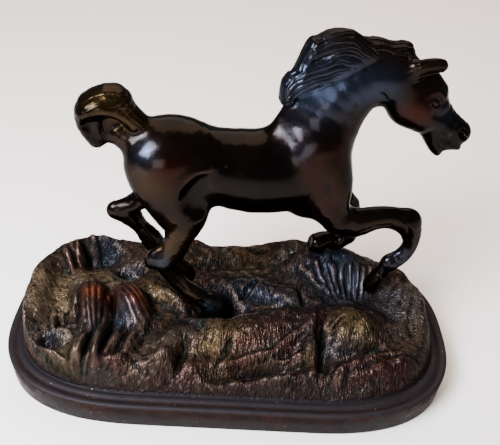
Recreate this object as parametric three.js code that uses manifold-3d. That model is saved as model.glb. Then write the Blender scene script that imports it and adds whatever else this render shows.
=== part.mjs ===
import * as THREE from 'three';
import { mergeVertices } from 'three/addons/utils/BufferGeometryUtils.js';
import Module from 'manifold-3d';

// A small bronze of a trotting horse, tail up and mane flying, fixed on rough ground of grass
// tufts and stones that is cast in one with its oval moulded plinth.
// Millimetres, +Z up. The horse heads along +X. The origin is the middle of the underside.

// Driving dimensions of the plinth
const plinthLength = 220;
const plinthWidth = 118;
const plinthHeight = 13.5;
const groundFoot = plinthHeight + 0.1; // where the ground meets the moulding
const plinthEnd = 75; // how far the rounded end reaches in from each tip
const endSquareness = 2.7; // 2 is an elliptic end, more is squarer
const groundInset = 6.7; // width of the moulding around the ground
const bankWidth = 9; // how far in the ground rises to its full height
const tailBankWidth = 2.4; // the same at the end behind the horse, where the bank is a steep wall
const bankRoundness = 0.55; // less rises more steeply from the moulding
const groundRise = 12; // height of the ground's middle over its foot
const groundSlope = 4; // how much higher it is at the back edge
const tussockHeight = 0.9; // unevenness of the ground all over

// Driving dimensions of the horse
const horseTurn = 12; // degrees, its head turned away from the plinth's long axis
const horseShift = 10; // its middle lies this far behind the plinth's middle
const hoofGap = 0.3; // clearance between the horse and the ground that it is fixed on

// How finely the shapes are worked out, and how many faces they keep
const fieldStep = 1.8;
const slideRounds = 4;
const slideShare = 0.6; // how far a point slides in each round of evening out
const evenness = 0.01; // how strongly short edges go before long ones
const thinnest = 0.15; // a face's height over its longest side stays above this
const horseFaces = 6000;
const baseFaces = 3600;
const outlineSteps = 240;
const outlineSamples = 400; // finer points that the even steps of the outline are picked from
const groundRings = 38;
const ringCrowding = 1.15; // more than 1 sets the rings closer at the ground's edge

const degrees = Math.PI / 180;
const mix = (a, b, t) => a + (b - a) * t;
const clamp = (value, low, high) => Math.min(Math.max(value, low), high);

function softMin(a, b, reach) {
  const overlap = Math.max(reach - Math.abs(a - b), 0) / reach;
  return Math.min(a, b) - (overlap * overlap * reach) / 4;
}

const softMax = (a, b, reach) => -softMin(-a, -b, reach);

// Rounded forms
// A section is [x, y, z, depth, width]: a centre, its half depth in the upright plane of the
// horse's length, and its half width across the horse. Between sections a form swells smoothly.

function spline(a, b, c, d, t) {
  const bend = [2 * b, c - a, 2 * a - 5 * b + 4 * c - d, 3 * b - a - 3 * c + d];
  return (bend[0] + bend[1] * t + bend[2] * t * t + bend[3] * t * t * t) / 2;
}

function smoothed(sections, steps) {
  const last = sections.length - 1;
  const result = [];
  for (let i = 0; i < last; i += 1) {
    const around = [-1, 0, 1, 2].map((k) => sections[clamp(i + k, 0, last)]);
    for (let s = 0; s < steps; s += 1) {
      const between = (n) => spline(...around.map((section) => section[n]), s / steps);
      result.push([0, 1, 2, 3, 4].map(between));
    }
  }
  result.push(sections[last]);
  return result;
}

function form(sections, steps = 3) {
  const rings = smoothed(sections, steps);
  const reach = Math.max(...rings.map((ring) => Math.max(ring[3], ring[4])));
  const low = [0, 1, 2].map((n) => Math.min(...rings.map((ring) => ring[n])) - reach);
  const high = [0, 1, 2].map((n) => Math.max(...rings.map((ring) => ring[n])) + reach);

  const distance = (x, y, z) => {
    let nearest = Infinity;
    for (let i = 1; i < rings.length; i += 1) {
      const [ax, ay, az, ad, aw] = rings[i - 1];
      const [bx, by, bz, bd, bw] = rings[i];
      const [ux, uy, uz] = [bx - ax, by - ay, bz - az];
      const along = (x - ax) * ux + (y - ay) * uy + (z - az) * uz;
      const t = clamp(along / (ux * ux + uy * uy + uz * uz), 0, 1);
      const depth = mix(ad, bd, t);
      const width = mix(aw, bw, t);
      const across = ((y - mix(ay, by, t)) * depth) / width;
      const off = Math.hypot(x - mix(ax, bx, t), across, z - mix(az, bz, t)) - depth;
      nearest = Math.min(nearest, off);
    }
    return nearest;
  };

  return { distance, low, high };
}

// The same form on the other side of a plane along the horse at the given y
const mirrored = (sections, y) => sections.map((s) => [s[0], 2 * y - s[1], s[2], s[3], s[4]]);

// Locks of hair that fan out between an upper and a lower line of [x, z] points
function locks(upper, lower, count, y, depths, width) {
  const result = [];
  for (let i = 0; i < count; i += 1) {
    const share = i / (count - 1);
    result.push(upper.map((point, n) => [
      mix(point[0], lower[n][0], share),
      y,
      mix(point[1], lower[n][1], share),
      depths[n],
      width * (0.75 + 0.25 * Math.sin(Math.PI * (n + 1) / (upper.length + 1))),
    ]));
  }
  return result;
}

// The horse, in its own axes: +X to its head, +Y to its left side, the ground about 20 up

const nearSide = -11.5;
const farSide = 11.5;

const trunk = [
  [-32.1, 0, 107.9, 19.7, 17],
  [-26.9, 0, 107.9, 18.8, 16.6],
  [-13.4, 0, 102.8, 18, 16],
  [8.4, 0, 98, 20.5, 17.5],
  [27.5, 0, 97.1, 20.5, 17],
  [37.1, 0, 90.6, 19.1, 15.5],
];

const neck = [
  [33.5, 0, 108.2, 19.7, 14],
  [41.4, 0, 128.1, 16.7, 11],
  [52, 0, 140.4, 14.5, 9.5],
  [66.1, -0.5, 143.8, 12.9, 8.5],
];

const crest = [
  [18.7, 0, 117.5, 3.9, 4],
  [23.3, 0, 127.7, 4.7, 4],
  [35.5, 0, 144.2, 5.2, 4.5],
  [50, 0, 154, 4.5, 4.5],
  [63.7, 0, 154.2, 4.2, 4.5],
];

const skull = [
  [71.8, -1, 141.8, 11.6, 9],
  [83.2, -2, 130.2, 11.7, 9],
  [94.6, -3, 121.7, 8, 6.8],
  [104.3, -4, 116.1, 5.9, 6],
];

const cheek = [
  [77.7, -1.5, 130, 10, 8.9],
  [84.5, -2, 127.8, 9.6, 8.6],
];

const forehead = [
  [86.1, -2, 140.5, 5.5, 6],
  [89.6, -2, 137.2, 5, 5.5],
];

const upperLip = [
  [99.5, -4, 111.7, 3.9, 5.2],
  [104.3, -4, 109.5, 1.7, 4.4],
];

const chin = [
  [90.7, -2.5, 117.1, 5.1, 5.2],
  [94.3, -3.5, 109.6, 3.8, 4.4],
  [95.4, -4, 106.1, 2, 3.2],
];

const mouth = [
  [100.5, -4, 104.2, 1.5, 9],
  [97.6, -4, 108, 1, 9],
  [94, -4, 112.4, 0.6, 9],
];

const ear = [
  [70.5, -6, 146.1, 2.6, 2.4],
  [75.3, -8, 149.9, 3.7, 2.6],
  [80.6, -9, 151.3, 3.9, 2.4],
  [85.5, -9, 151.5, 3.2, 2],
  [86.7, -9, 151, 1.3, 1.5],
];

const earHollow = [
  [75.5, -10.5, 147.6, 1.5, 2.2],
  [80.5, -11.5, 148.6, 2.2, 2.4],
  [85, -11, 149.4, 1.5, 1.8],
];

const farEar = [
  [72, 6, 146, 3, 2.6],
  [66, 8, 149, 3.4, 2.2],
  [60, 9, 150, 1.6, 1.4],
];

const nostril = [
  [105.6, -10, 118, 1.4, 2],
  [107.6, -9.5, 116.5, 1.8, 2],
];

const eyeball = [
  [86.6, -9.2, 133, 1.9, 1.9],
  [87.4, -9.2, 132.8, 1.9, 1.9],
];

const brow = [
  [83.5, -8.4, 135.5, 1.5, 1.8],
  [87, -8.8, 137, 1.6, 1.8],
  [90.5, -7.4, 134.5, 1.4, 1.8],
];

const faceCrest = [
  [87, -8, 127.5, 2, 2],
  [97, -7.6, 119.5, 1.5, 1.6],
];

const forelock = [
  [66.4, -0.5, 155.8, 3.5, 5],
  [71.5, -1, 156.2, 4, 5],
  [74.1, -2.5, 150.7, 2.7, 4],
];

const middleLock = [
  [49.1, 0, 156.1, 4.2, 5.5],
  [57.2, 0, 157.8, 4.2, 5.5],
  [62.1, -0.5, 156.8, 3.8, 5],
];

const maneLocks = [
  ...locks(
    [[55.2, 156.1], [45.2, 162.7], [36.5, 162.9], [29.3, 159]],
    [[49, 152], [40.8, 154.3], [33.7, 148.4], [24.6, 145.9]],
    4, -1.5, [3, 3.2, 2.9, 1.9], 5,
  ),
  ...locks(
    [[47, 152], [37.3, 151.7], [26.1, 148.6], [19.2, 142.7]],
    [[43, 149], [34, 145.5], [26.5, 141.5], [18.3, 135.5]],
    3, -2.5, [3, 3, 2.6, 1.8], 4.6,
  ),
];

const tailHair = [
  [-42.2, 0, 123.5, 4.4, 5],
  [-48.7, 0, 131.7, 4.4, 6.5],
  [-53.9, 0, 137.5, 6.2, 8],
  [-63.6, 0, 134.2, 6.3, 8.5],
  [-65.2, 0, 127.2, 5.5, 7.5],
  [-62.5, 0, 119.3, 4.2, 5],
];

const tailDock = [
  [-43.8, 0, 116.4, 5.9, 6],
  [-50.9, 0, 120, 6, 5.5],
  [-54.9, 1.5, 123.2, 5.9, 4.5],
  [-58, 2, 129, 7, 4.5],
];

const tailHollow = [
  [-62, -9, 127, 3.4, 4],
  [-60, -9, 119.5, 3.2, 4],
];

const nearThigh = [
  [-36.7, -8, 106.9, 13.4, 9],
  [-35.4, -9, 98.8, 12.6, 9.5],
  [-27.9, -10, 86.9, 12.8, 9],
  [-26.6, -11, 80.1, 9.7, 7.5],
  [-28.7, nearSide, 72.1, 6.9, 6.4],
  [-31.6, nearSide, 63.9, 6.3, 5.5],
  [-36, nearSide, 59, 5.5, 5],
];

const nearHock = [
  [-34, nearSide, 66, 3.5, 3],
  [-40.5, nearSide, 61.5, 3.4, 3.2],
  [-42, nearSide, 57.5, 3, 3],
];

const nearHindCannon = [
  [-36, nearSide, 58, 5.4, 4.6],
  [-32, nearSide, 49.5, 4.4, 4],
  [-27, nearSide, 41.5, 4.3, 3.9],
  [-21, nearSide, 35, 4.9, 4.5],
  [-16, nearSide, 31, 4.6, 4.8],
];

const nearHindHoof = [
  [-15.5, nearSide, 30, 4.9, 5.4],
  [-11.5, nearSide, 26.5, 6.4, 6.6],
  [-10, nearSide, 22, 7, 7.2],
];

const flankHollow = [
  [-22, -20, 103, 4.5, 4],
  [-24, -20, 96, 4.5, 4],
  [-20, -19, 90, 3.5, 3.5],
];

const flankFold = [
  [-16, -14.4, 109.5, 0.9, 1.2],
  [-21, -15.8, 107, 1.4, 1.8],
  [-26.5, -16.6, 102, 1.5, 1.8],
  [-28.5, -16.6, 96, 1.5, 1.8],
  [-24, -15.6, 89.5, 1.3, 1.6],
];

const farThigh = [
  [-35.7, 8, 103.9, 13.9, 9],
  [-30, 9, 92, 13, 8.5],
  [-32, 10, 83.9, 10.1, 7.5],
  [-41.3, 11, 81.1, 6.4, 6],
  [-48.9, farSide, 76.2, 3.6, 5],
];

const farHock = [
  [-47.9, farSide, 76.4, 3.3, 3.8],
  [-56.2, farSide, 73.4, 5, 3.8],
];

const farHindCannon = [
  [-51.1, farSide, 71.7, 6.5, 4.6],
  [-45.6, farSide, 63.4, 4, 4.2],
  [-40.4, farSide, 55.2, 5.4, 4.2],
  [-35.9, farSide, 46.6, 4.9, 4.5],
  [-31, farSide, 40, 4.6, 4.6],
];

const farHindHoof = [
  [-30, farSide, 39, 4.6, 4.8],
  [-25.5, farSide, 33.5, 5.9, 6],
  [-24, farSide, 29, 6.3, 6.5],
];

const nearShoulder = [
  [35.8, -8, 112, 11.9, 8],
  [42.3, -10, 95.6, 10.2, 7.8],
  [43.2, -11, 83.4, 9.3, 7.8],
  [47.8, -11.3, 76.7, 7.2, 7.2],
];

const nearForearm = [
  [48.3, -11, 74.4, 6.8, 7],
  [56.9, nearSide, 72.5, 7.9, 5.8],
  [66.9, nearSide, 74.4, 6.3, 5],
  [75.2, nearSide, 74.1, 5.9, 4.6],
  [85, nearSide, 70.7, 6.8, 5],
];

const nearForeCannon = [
  [83.7, nearSide, 71.7, 6.4, 5],
  [87.4, nearSide, 65.3, 5.7, 4.6],
  [88.9, nearSide, 56.9, 4, 4],
  [85.9, nearSide, 49.7, 4.5, 3.6],
  [79.9, nearSide, 45.5, 5, 3.8],
];

const nearForeHoof = [
  [79.8, nearSide, 45.4, 4.2, 3.8],
  [76, nearSide, 40, 3.4, 3.4],
  [73.5, nearSide, 36, 3.6, 3.8],
  [71.5, nearSide, 31, 4, 4.2],
];

const farForearm = [
  [40.2, 8, 90.1, 12.1, 7.5],
  [48.6, 9.5, 77.8, 8.7, 6.5],
  [60.8, 11, 67.1, 6.8, 5.4],
  [63.9, farSide, 56.2, 5.3, 4.7],
  [64.7, farSide, 48.5, 4.3, 4.6],
];

const farForeCannon = [
  [63.6, farSide, 46.4, 4, 4.4],
  [58.3, farSide, 42.8, 3.9, 3.4],
  [52.5, farSide, 45.7, 4.7, 4.2],
  [47.7, farSide, 43.9, 5.6, 5.4],
];

const farSole = [
  [42.2, 11, 44.6, 2.4, 3.8],
  [43, 11, 48.6, 2.4, 3.8],
];

// Every rounded form, with how widely it melts into the forms before it
const swellings = [
  [trunk, 1],
  [neck, 9],
  [crest, 6],
  [skull, 5],
  [cheek, 4],
  [forehead, 4],
  [upperLip, 2.5],
  [chin, 3],
  [brow, 2],
  [faceCrest, 3],
  [nearThigh, 7],
  [flankFold, 3],
  [nearHock, 3],
  [nearHindCannon, 2],
  [nearHindHoof, 1],
  [farThigh, 7],
  [farHock, 3],
  [farHindCannon, 2],
  [farHindHoof, 1],
  [nearShoulder, 5],
  [nearForearm, 4],
  [nearForeCannon, 2],
  [nearForeHoof, 1.5],
  [farForearm, 7],
  [farForeCannon, 2],
  [tailDock, 5],
  [tailHair, 4],
  [middleLock, 2],
  [forelock, 1.5],
  ...maneLocks.map((lock) => [lock, 1.2]),
  [ear, 1.5],
  [farEar, 2],
];

const hollows = [
  [mouth, 0.8],
  [nostril, 1],
  [mirrored(nostril, -4), 1],
  [earHollow, 1],
  [tailHollow, 2.5],
  [flankHollow, 6],
  [farSole, 0.8],
];

const details = [
  [eyeball, 0.5],
  [mirrored(eyeball, -2), 0.5],
];

function horseField() {
  const build = (list) => list.map(([sections, blend]) => ({ ...form(sections), blend }));
  const [solids, cuts, extras] = [swellings, hollows, details].map(build);
  const all = [...solids, ...extras];
  const low = [0, 1, 2].map((n) => Math.min(...all.map((f) => f.low[n])) - 2 * fieldStep);
  const high = [0, 1, 2].map((n) => Math.max(...all.map((f) => f.high[n])) + 2 * fieldStep);

  const distance = (x, y, z) => {
    let result = Infinity;
    for (const { distance: toForm, blend } of solids) {
      result = result === Infinity ? toForm(x, y, z) : softMin(result, toForm(x, y, z), blend);
    }
    for (const { distance: toForm, blend } of cuts) {
      result = softMax(result, -toForm(x, y, z), blend);
    }
    for (const { distance: toForm, blend } of extras) {
      result = softMin(result, toForm(x, y, z), blend);
    }
    return result;
  };

  return { distance, low, high };
}

// Surface of a field, by cutting every cell of a grid into six tetrahedra

function surfaceOf({ distance, low, high }, step) {
  const counts = low.map((value, n) => Math.ceil((high[n] - value) / step) + 1);
  const at = (i, j, k) => (k * counts[1] + j) * counts[0] + i;
  const place = (id) => [
    low[0] + (id % counts[0]) * step,
    low[1] + (Math.floor(id / counts[0]) % counts[1]) * step,
    low[2] + Math.floor(id / (counts[0] * counts[1])) * step,
  ];
  const values = new Float64Array(counts[0] * counts[1] * counts[2]);
  values.forEach((_, id) => {
    values[id] = distance(...place(id)) || 1e-6;
  });

  const points = [];
  const faces = [];
  const crossings = new Map();

  const crossing = (a, b) => {
    const key = a < b ? a * values.length + b : b * values.length + a;
    if (!crossings.has(key)) {
      const [from, to] = [place(Math.min(a, b)), place(Math.max(a, b))];
      const [inner, outer] = [values[Math.min(a, b)], values[Math.max(a, b)]];
      const t = clamp(inner / (inner - outer), 0.02, 0.98);
      crossings.set(key, points.length);
      points.push(from.map((value, n) => mix(value, to[n], t)));
    }
    return crossings.get(key);
  };

  const addFace = (a, b, c, insideId) => {
    const [p, q, r] = [a, b, c].map((id) => new THREE.Vector3(...points[id]));
    const normal = q.clone().sub(p).cross(r.clone().sub(p));
    const outward = p.clone().sub(new THREE.Vector3(...place(insideId)));
    faces.push(normal.dot(outward) > 0 ? [a, b, c] : [a, c, b]);
  };

  const cutTetrahedron = (corners) => {
    const inside = corners.filter((id) => values[id] < 0);
    const outside = corners.filter((id) => values[id] >= 0);
    if (inside.length === 1) {
      addFace(...outside.map((id) => crossing(inside[0], id)), inside[0]);
    } else if (inside.length === 3) {
      addFace(...inside.map((id) => crossing(id, outside[0])), inside[0]);
    } else if (inside.length === 2) {
      const [a, b] = inside;
      const [c, d] = outside;
      const quad = [crossing(a, c), crossing(a, d), crossing(b, d), crossing(b, c)];
      addFace(quad[0], quad[1], quad[2], a);
      addFace(quad[0], quad[2], quad[3], b);
    }
  };

  // The six ways from a cell's first corner to its last, one axis at a time
  const routes = [[0, 1, 2], [0, 2, 1], [1, 0, 2], [1, 2, 0], [2, 0, 1], [2, 1, 0]];
  const strides = [1, counts[0], counts[0] * counts[1]];
  for (let k = 0; k < counts[2] - 1; k += 1) {
    for (let j = 0; j < counts[1] - 1; j += 1) {
      for (let i = 0; i < counts[0] - 1; i += 1) {
        const first = at(i, j, k);
        if (Math.abs(values[first]) > 4 * step) continue;
        for (const route of routes) {
          const second = first + strides[route[0]];
          const third = second + strides[route[1]];
          cutTetrahedron([first, second, third, third + strides[route[2]]]);
        }
      }
    }
  }

  return { points, faces };
}

// Evener faces: every point slides along the surface towards the middle of its neighbours
function relaxed({ points, faces }, rounds) {
  let places = points.map((point) => new THREE.Vector3(...point));
  for (let round = 0; round < rounds; round += 1) {
    const sums = places.map(() => (
      { normal: new THREE.Vector3(), middle: new THREE.Vector3(), count: 0 }
    ));
    for (const face of faces) {
      const [p, q, r] = face.map((id) => places[id]);
      const normal = q.clone().sub(p).cross(r.clone().sub(p));
      for (let n = 0; n < 3; n += 1) {
        const sum = sums[face[n]];
        sum.normal.add(normal);
        sum.middle.add(places[face[(n + 1) % 3]]).add(places[face[(n + 2) % 3]]);
        sum.count += 2;
      }
    }
    places = places.map((place, id) => {
      const { normal, middle, count } = sums[id];
      const slide = middle.divideScalar(count).sub(place);
      slide.addScaledVector(normal.normalize(), -slide.dot(normal));
      return slide.multiplyScalar(slideShare).add(place);
    });
  }
  return { points: places.map((place) => place.toArray()), faces };
}

// Fewer faces: the edge whose loss bends the surface least is collapsed, again and again

function planeQuadric(p, q, r) {
  const normal = q.clone().sub(p).cross(r.clone().sub(p));
  const area = normal.length();
  normal.normalize();
  const [a, b, c, d] = [normal.x, normal.y, normal.z, -normal.dot(p)];
  return [a * a, a * b, a * c, a * d, b * b, b * c, b * d, c * c, c * d, d * d].map((v) => v * area);
}

function quadricError(q, { x, y, z }) {
  return q[0] * x * x + 2 * q[1] * x * y + 2 * q[2] * x * z + 2 * q[3] * x
    + q[4] * y * y + 2 * q[5] * y * z + 2 * q[6] * y
    + q[7] * z * z + 2 * q[8] * z + q[9];
}

function bestPoint(q, from, to) {
  const middle = from.clone().add(to).multiplyScalar(0.5);
  const matrix = new THREE.Matrix3().set(q[0], q[1], q[2], q[1], q[4], q[5], q[2], q[5], q[7]);
  const size = q[0] + q[4] + q[7];
  const candidates = [from, to, middle];
  if (Math.abs(matrix.determinant()) > 1e-5 * size ** 3) {
    const solved = new THREE.Vector3(-q[3], -q[6], -q[8]).applyMatrix3(matrix.invert());
    if (solved.distanceTo(middle) < 2 * from.distanceTo(to)) candidates.push(solved);
  }
  let best = { error: Infinity };
  for (const point of candidates) {
    const error = quadricError(q, point) + evenness * from.distanceToSquared(to);
    if (error < best.error) best = { point, error };
  }
  return best;
}

class CheapestFirst {
  constructor() {
    this.items = [];
  }

  push(item) {
    const { items } = this;
    let at = items.push(item) - 1;
    while (at > 0) {
      const parent = (at - 1) >> 1;
      if (items[parent].error <= item.error) break;
      items[at] = items[parent];
      at = parent;
    }
    items[at] = item;
  }

  pop() {
    const { items } = this;
    const first = items[0];
    const item = items.pop();
    let at = 0;
    for (;;) {
      let child = 2 * at + 1;
      if (child >= items.length) break;
      if (child + 1 < items.length && items[child + 1].error < items[child].error) child += 1;
      if (items[child].error >= item.error) break;
      items[at] = items[child];
      at = child;
    }
    if (items.length > 0) items[at] = item;
    return first;
  }
}

function simplified({ points, faces }, target) {
  const places = points.map((point) => new THREE.Vector3(...point));
  const corners = faces.map((face) => [...face]);
  const around = places.map(() => new Set());
  const quadrics = places.map(() => new Array(10).fill(0));
  const versions = places.map(() => 0);
  corners.forEach((face, id) => {
    const plane = planeQuadric(...face.map((corner) => places[corner]));
    for (const corner of face) {
      around[corner].add(id);
      plane.forEach((value, n) => {
        quadrics[corner][n] += value;
      });
    }
  });

  const neighbours = (vertex) => {
    const result = new Set();
    for (const id of around[vertex]) corners[id].forEach((corner) => result.add(corner));
    result.delete(vertex);
    return result;
  };

  const queue = new CheapestFirst();
  const offer = (a, b) => {
    const sum = quadrics[a].map((value, n) => value + quadrics[b][n]);
    const versionsNow = [versions[a], versions[b]];
    queue.push({ a, b, sum, versionsNow, ...bestPoint(sum, places[a], places[b]) });
  };
  places.forEach((_, a) => neighbours(a).forEach((b) => a < b && offer(a, b)));

  const shape = (p, q, r) => {
    const normal = q.clone().sub(p).cross(r.clone().sub(p));
    const longest = Math.max(p.distanceTo(q), q.distanceTo(r), r.distanceTo(p));
    return { normal: normal.clone().normalize(), fullness: normal.length() / longest ** 2 };
  };

  const spoils = (vertex, other, point) => {
    for (const id of around[vertex]) {
      const face = corners[id];
      if (face.includes(other)) continue;
      const before = shape(...face.map((corner) => places[corner]));
      const after = shape(...face.map((corner) => (corner === vertex ? point : places[corner])));
      if (after.fullness < Math.min(thinnest, before.fullness)) return true;
      if (before.fullness > thinnest && before.normal.dot(after.normal) < 0.5) return true;
    }
    return false;
  };

  let left = corners.length;
  while (left > target && queue.items.length > 0) {
    const item = queue.pop();
    const { a, b, sum, versionsNow, point } = item;
    if (versions[a] !== versionsNow[0] || versions[b] !== versionsNow[1]) continue;
    const nearB = neighbours(b);
    const shared = [...neighbours(a)].filter((vertex) => nearB.has(vertex));
    if (shared.length !== 2 || spoils(a, b, point) || spoils(b, a, point)) {
      item.error = 3 * item.error + 0.01;
      item.tries = (item.tries ?? 0) + 1;
      if (item.tries < 6) queue.push(item);
      continue;
    }
    for (const id of [...around[b]]) {
      if (corners[id].includes(a)) {
        corners[id].forEach((corner) => around[corner].delete(id));
        corners[id] = null;
        left -= 1;
      } else {
        corners[id] = corners[id].map((corner) => (corner === b ? a : corner));
        around[a].add(id);
      }
    }
    around[b].clear();
    versions[b] = -1;
    versions[a] += 1;
    places[a] = point;
    quadrics[a] = sum;
    neighbours(a).forEach((vertex) => offer(a, vertex));
  }

  return { points: places.map((place) => place.toArray()), faces: corners.filter(Boolean) };
}

// The plinth and its ground

// The plinth's outline is two rounded ends joined by straight sides. A station on it is
// [round x, round y, straight x]: its place on a unit end, and how far along the side it is.
function outlineStations(count) {
  const straight = plinthLength / 2 - plinthEnd;
  const dense = [];
  for (let i = 0; i <= outlineSamples; i += 1) {
    const angle = (Math.PI / 2) * (i / outlineSamples);
    dense.push([Math.cos(angle), Math.sin(angle)].map((value) => value ** (2 / endSquareness)));
    dense[i].push(straight);
  }
  for (let i = 1; i <= outlineSamples; i += 1) dense.push([0, 1, straight * (1 - i / outlineSamples)]);

  const places = dense.map((station) => outlinePoint(station, 0));
  const travelled = [0];
  for (let i = 1; i < places.length; i += 1) {
    const [a, b] = [places[i - 1], places[i]];
    travelled.push(travelled[i - 1] + Math.hypot(b[0] - a[0], b[1] - a[1]));
  }
  const wanted = (i) => ((i + 0.5) * 4 * travelled[places.length - 1]) / count;
  const quarter = [];
  for (let i = 0, k = 0; i < count / 4; i += 1) {
    while (travelled[k] < wanted(i)) k += 1;
    quarter.push(dense[k]);
  }
  const back = [...quarter].reverse();
  return [
    ...quarter,
    ...back.map(([x, y, side]) => [-x, y, -side]),
    ...quarter.map(([x, y, side]) => [-x, -y, -side]),
    ...back.map(([x, y, side]) => [x, -y, side]),
  ];
}

const outlinePoint = ([roundX, roundY, straightX], inset) => (
  [roundX * (plinthEnd - inset) + straightX, roundY * (plinthWidth / 2 - inset)]
);

// The moulding from the underside to the foot of the ground, as [inset, height]
const moulding = [
  [0.4, 0],
  [0, 0.6],
  [-0.9, plinthHeight - 2.2],
  [-1, plinthHeight - 0.6],
  [-0.4, plinthHeight],
  [1.3, plinthHeight],
  [2.3, plinthHeight - 0.9],
  [3.6, plinthHeight + 0.3],
  [5.6, plinthHeight + 0.8],
  [groundInset, groundFoot],
];

// Lumps and hollows of the ground: [x, y, half length, half width, turn in degrees, height]
const lumps = [
  [49, 33, 20, 13, 0, 11],
  [71, 24, 12, 10, -10, 6.5],
  [-24, 17, 15, 9, -20, 3],
  [-7, -3, 17, 10, -15, -6],
  [10, 11, 24, 6, -4, 4],
  [-33, 3, 20, 5, -32, 5],
  [-71, -8, 14, 9, -72, 8],
  [-50, -6, 14, 8.5, -54, 8],
  [-61, -4, 9, 3, -72, -4],
  [-66, -35, 14, 9, -80, 6],
  [-50, -31, 12, 5, -98, 4],
  [-29, -37, 13, 5, 78, 4],
  [-83, -14, 8, 6, 0, -5],
  [-80, -31, 7, 6, 0, -3],
  [-53, 20, 7, 5, 0, -6],
  [-73, 30, 11, 8, 0, -9],
  [-88, 30, 9, 7, 90, 5],
  [-101, 3, 28, 9, 84, 8.5],
  [-79, 44, 16, 8, -12, 7],
  [-72, 43, 9, 7, 0, -2],
  [-24, 46, 8, 6, 0, 2.5],
  [-10, 47, 9, 6, 0, -1],
  [29, 44, 12, 8, 0, 5.5],
  [-96, -16, 12, 8, 70, 4],
  [-3, 29, 34, 4, 6, -3],
  [-40, -42, 30, 6, 0, 2],
  [11, -17, 38, 11, 11, 8],
  [15, -41, 30, 5, 10, -5],
  [24, -45, 22, 4, 10, 3],
  [40, -26, 16, 5.5, 80, 4],
  [48, -24, 16, 4, 80, -3],
  [62, -13, 16, 13, 10, 8],
  [66, -38, 22, 5, 13, 5],
  [60, -29, 14, 4, 10, -4],
  [96, 14, 24, 10, 80, 5],
  [87, 30, 6, 6, 0, 1.5],
  [95, 21, 5, 5, 0, -3],
];

function groundHeight(x, y, inset) {
  const atTail = clamp((-x - 60) / 35, 0, 1);
  const rise = clamp((inset - groundInset) / mix(bankWidth, tailBankWidth, atTail), 0, 1);
  const bank = Math.sin((rise * Math.PI) / 2) ** bankRoundness;
  let height = groundRise + groundSlope * (y / (plinthWidth / 2));
  for (const [cx, cy, length, width, turn, lift] of lumps) {
    const [c, s] = [Math.cos(turn * degrees), Math.sin(turn * degrees)];
    const u = ((x - cx) * c + (y - cy) * s) / length;
    const v = ((y - cy) * c - (x - cx) * s) / width;
    height += lift * Math.exp(-((u * u + v * v) ** 1.5));
  }
  const rows = Math.sin(x / 4.1 + 2 * Math.sin(y / 9));
  const columns = Math.sin(y / 3.7 + 2 * Math.sin(x / 11));
  return groundFoot + bank * (height + tussockHeight * rows * columns);
}

function baseSurface() {
  const rings = moulding.map(([inset, height]) => ({ inset, share: 0, height }));
  for (let i = 1; i <= groundRings; i += 1) {
    rings.push({ inset: groundInset, share: (i / groundRings) ** ringCrowding });
  }
  const points = [[0, 0, 0]];
  const stations = outlineStations(outlineSteps);
  for (const { inset, share, height } of rings) {
    for (const station of stations) {
      const [x, y] = outlinePoint(station, inset);
      const px = x * (1 - share) + share * x * (1 - plinthEnd / plinthLength);
      const py = y * (1 - share);
      const depth = groundInset + share * (plinthWidth / 2 - groundInset);
      points.push([px, py, height ?? groundHeight(px, py, depth)]);
    }
  }
  const faces = [];
  for (let i = 0; i < outlineSteps; i += 1) {
    const next = (i + 1) % outlineSteps;
    faces.push([0, 1 + next, 1 + i]);
    for (let r = 1; r < rings.length; r += 1) {
      const [a, b] = [1 + (r - 1) * outlineSteps + i, 1 + (r - 1) * outlineSteps + next];
      faces.push([a, b, b + outlineSteps], [a, b + outlineSteps, a + outlineSteps]);
    }
  }
  return { points, faces };
}

// Solids and meshes

function geometryOf({ points, faces }) {
  const geometry = new THREE.BufferGeometry();
  geometry.setAttribute('position', new THREE.Float32BufferAttribute(points.flat(), 3));
  geometry.setIndex(faces.flat());
  return mergeVertices(geometry, 1e-4);
}

function indexed(geometry) {
  const { position } = geometry.attributes;
  const points = [];
  for (let i = 0; i < position.count; i += 1) {
    points.push([position.getX(i), position.getY(i), position.getZ(i)]);
  }
  const faces = [];
  for (let i = 0; i < geometry.index.count; i += 3) {
    const face = [0, 1, 2].map((n) => geometry.index.getX(i + n));
    if (new Set(face).size === 3) faces.push(face);
  }
  return { points, faces };
}

const wasm = await Module();
wasm.setup();

function solidOf(geometry) {
  const vertProperties = new Float32Array(geometry.attributes.position.array);
  const triVerts = new Uint32Array(geometry.index.array);
  const mesh = new wasm.Mesh({ numProp: 3, vertProperties, triVerts });
  mesh.merge();
  return new wasm.Manifold(mesh);
}

function geometryOfSolid(solid) {
  const { vertProperties, triVerts, numProp } = solid.getMesh();
  const geometry = new THREE.BufferGeometry();
  const position = new Float32Array((vertProperties.length / numProp) * 3);
  for (let i = 0; i < position.length / 3; i += 1) {
    for (let n = 0; n < 3; n += 1) position[3 * i + n] = vertProperties[i * numProp + n];
  }
  geometry.setAttribute('position', new THREE.BufferAttribute(position, 3));
  geometry.setIndex(new THREE.BufferAttribute(new Uint32Array(triVerts), 1));
  return geometry;
}

const bronze = (name, color, roughness) => (
  new THREE.MeshStandardMaterial({ name, color, roughness, metalness: 1 })
);

function named(name, geometry, material) {
  geometry.computeVertexNormals();
  const mesh = new THREE.Mesh(geometry, material);
  mesh.name = name;
  return mesh;
}

function makeBase() {
  const surface = indexed(geometryOf(baseSurface()));
  return named('base', geometryOf(simplified(surface, baseFaces)), bronze('base bronze', 0x4a3626, 0.5));
}

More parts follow.
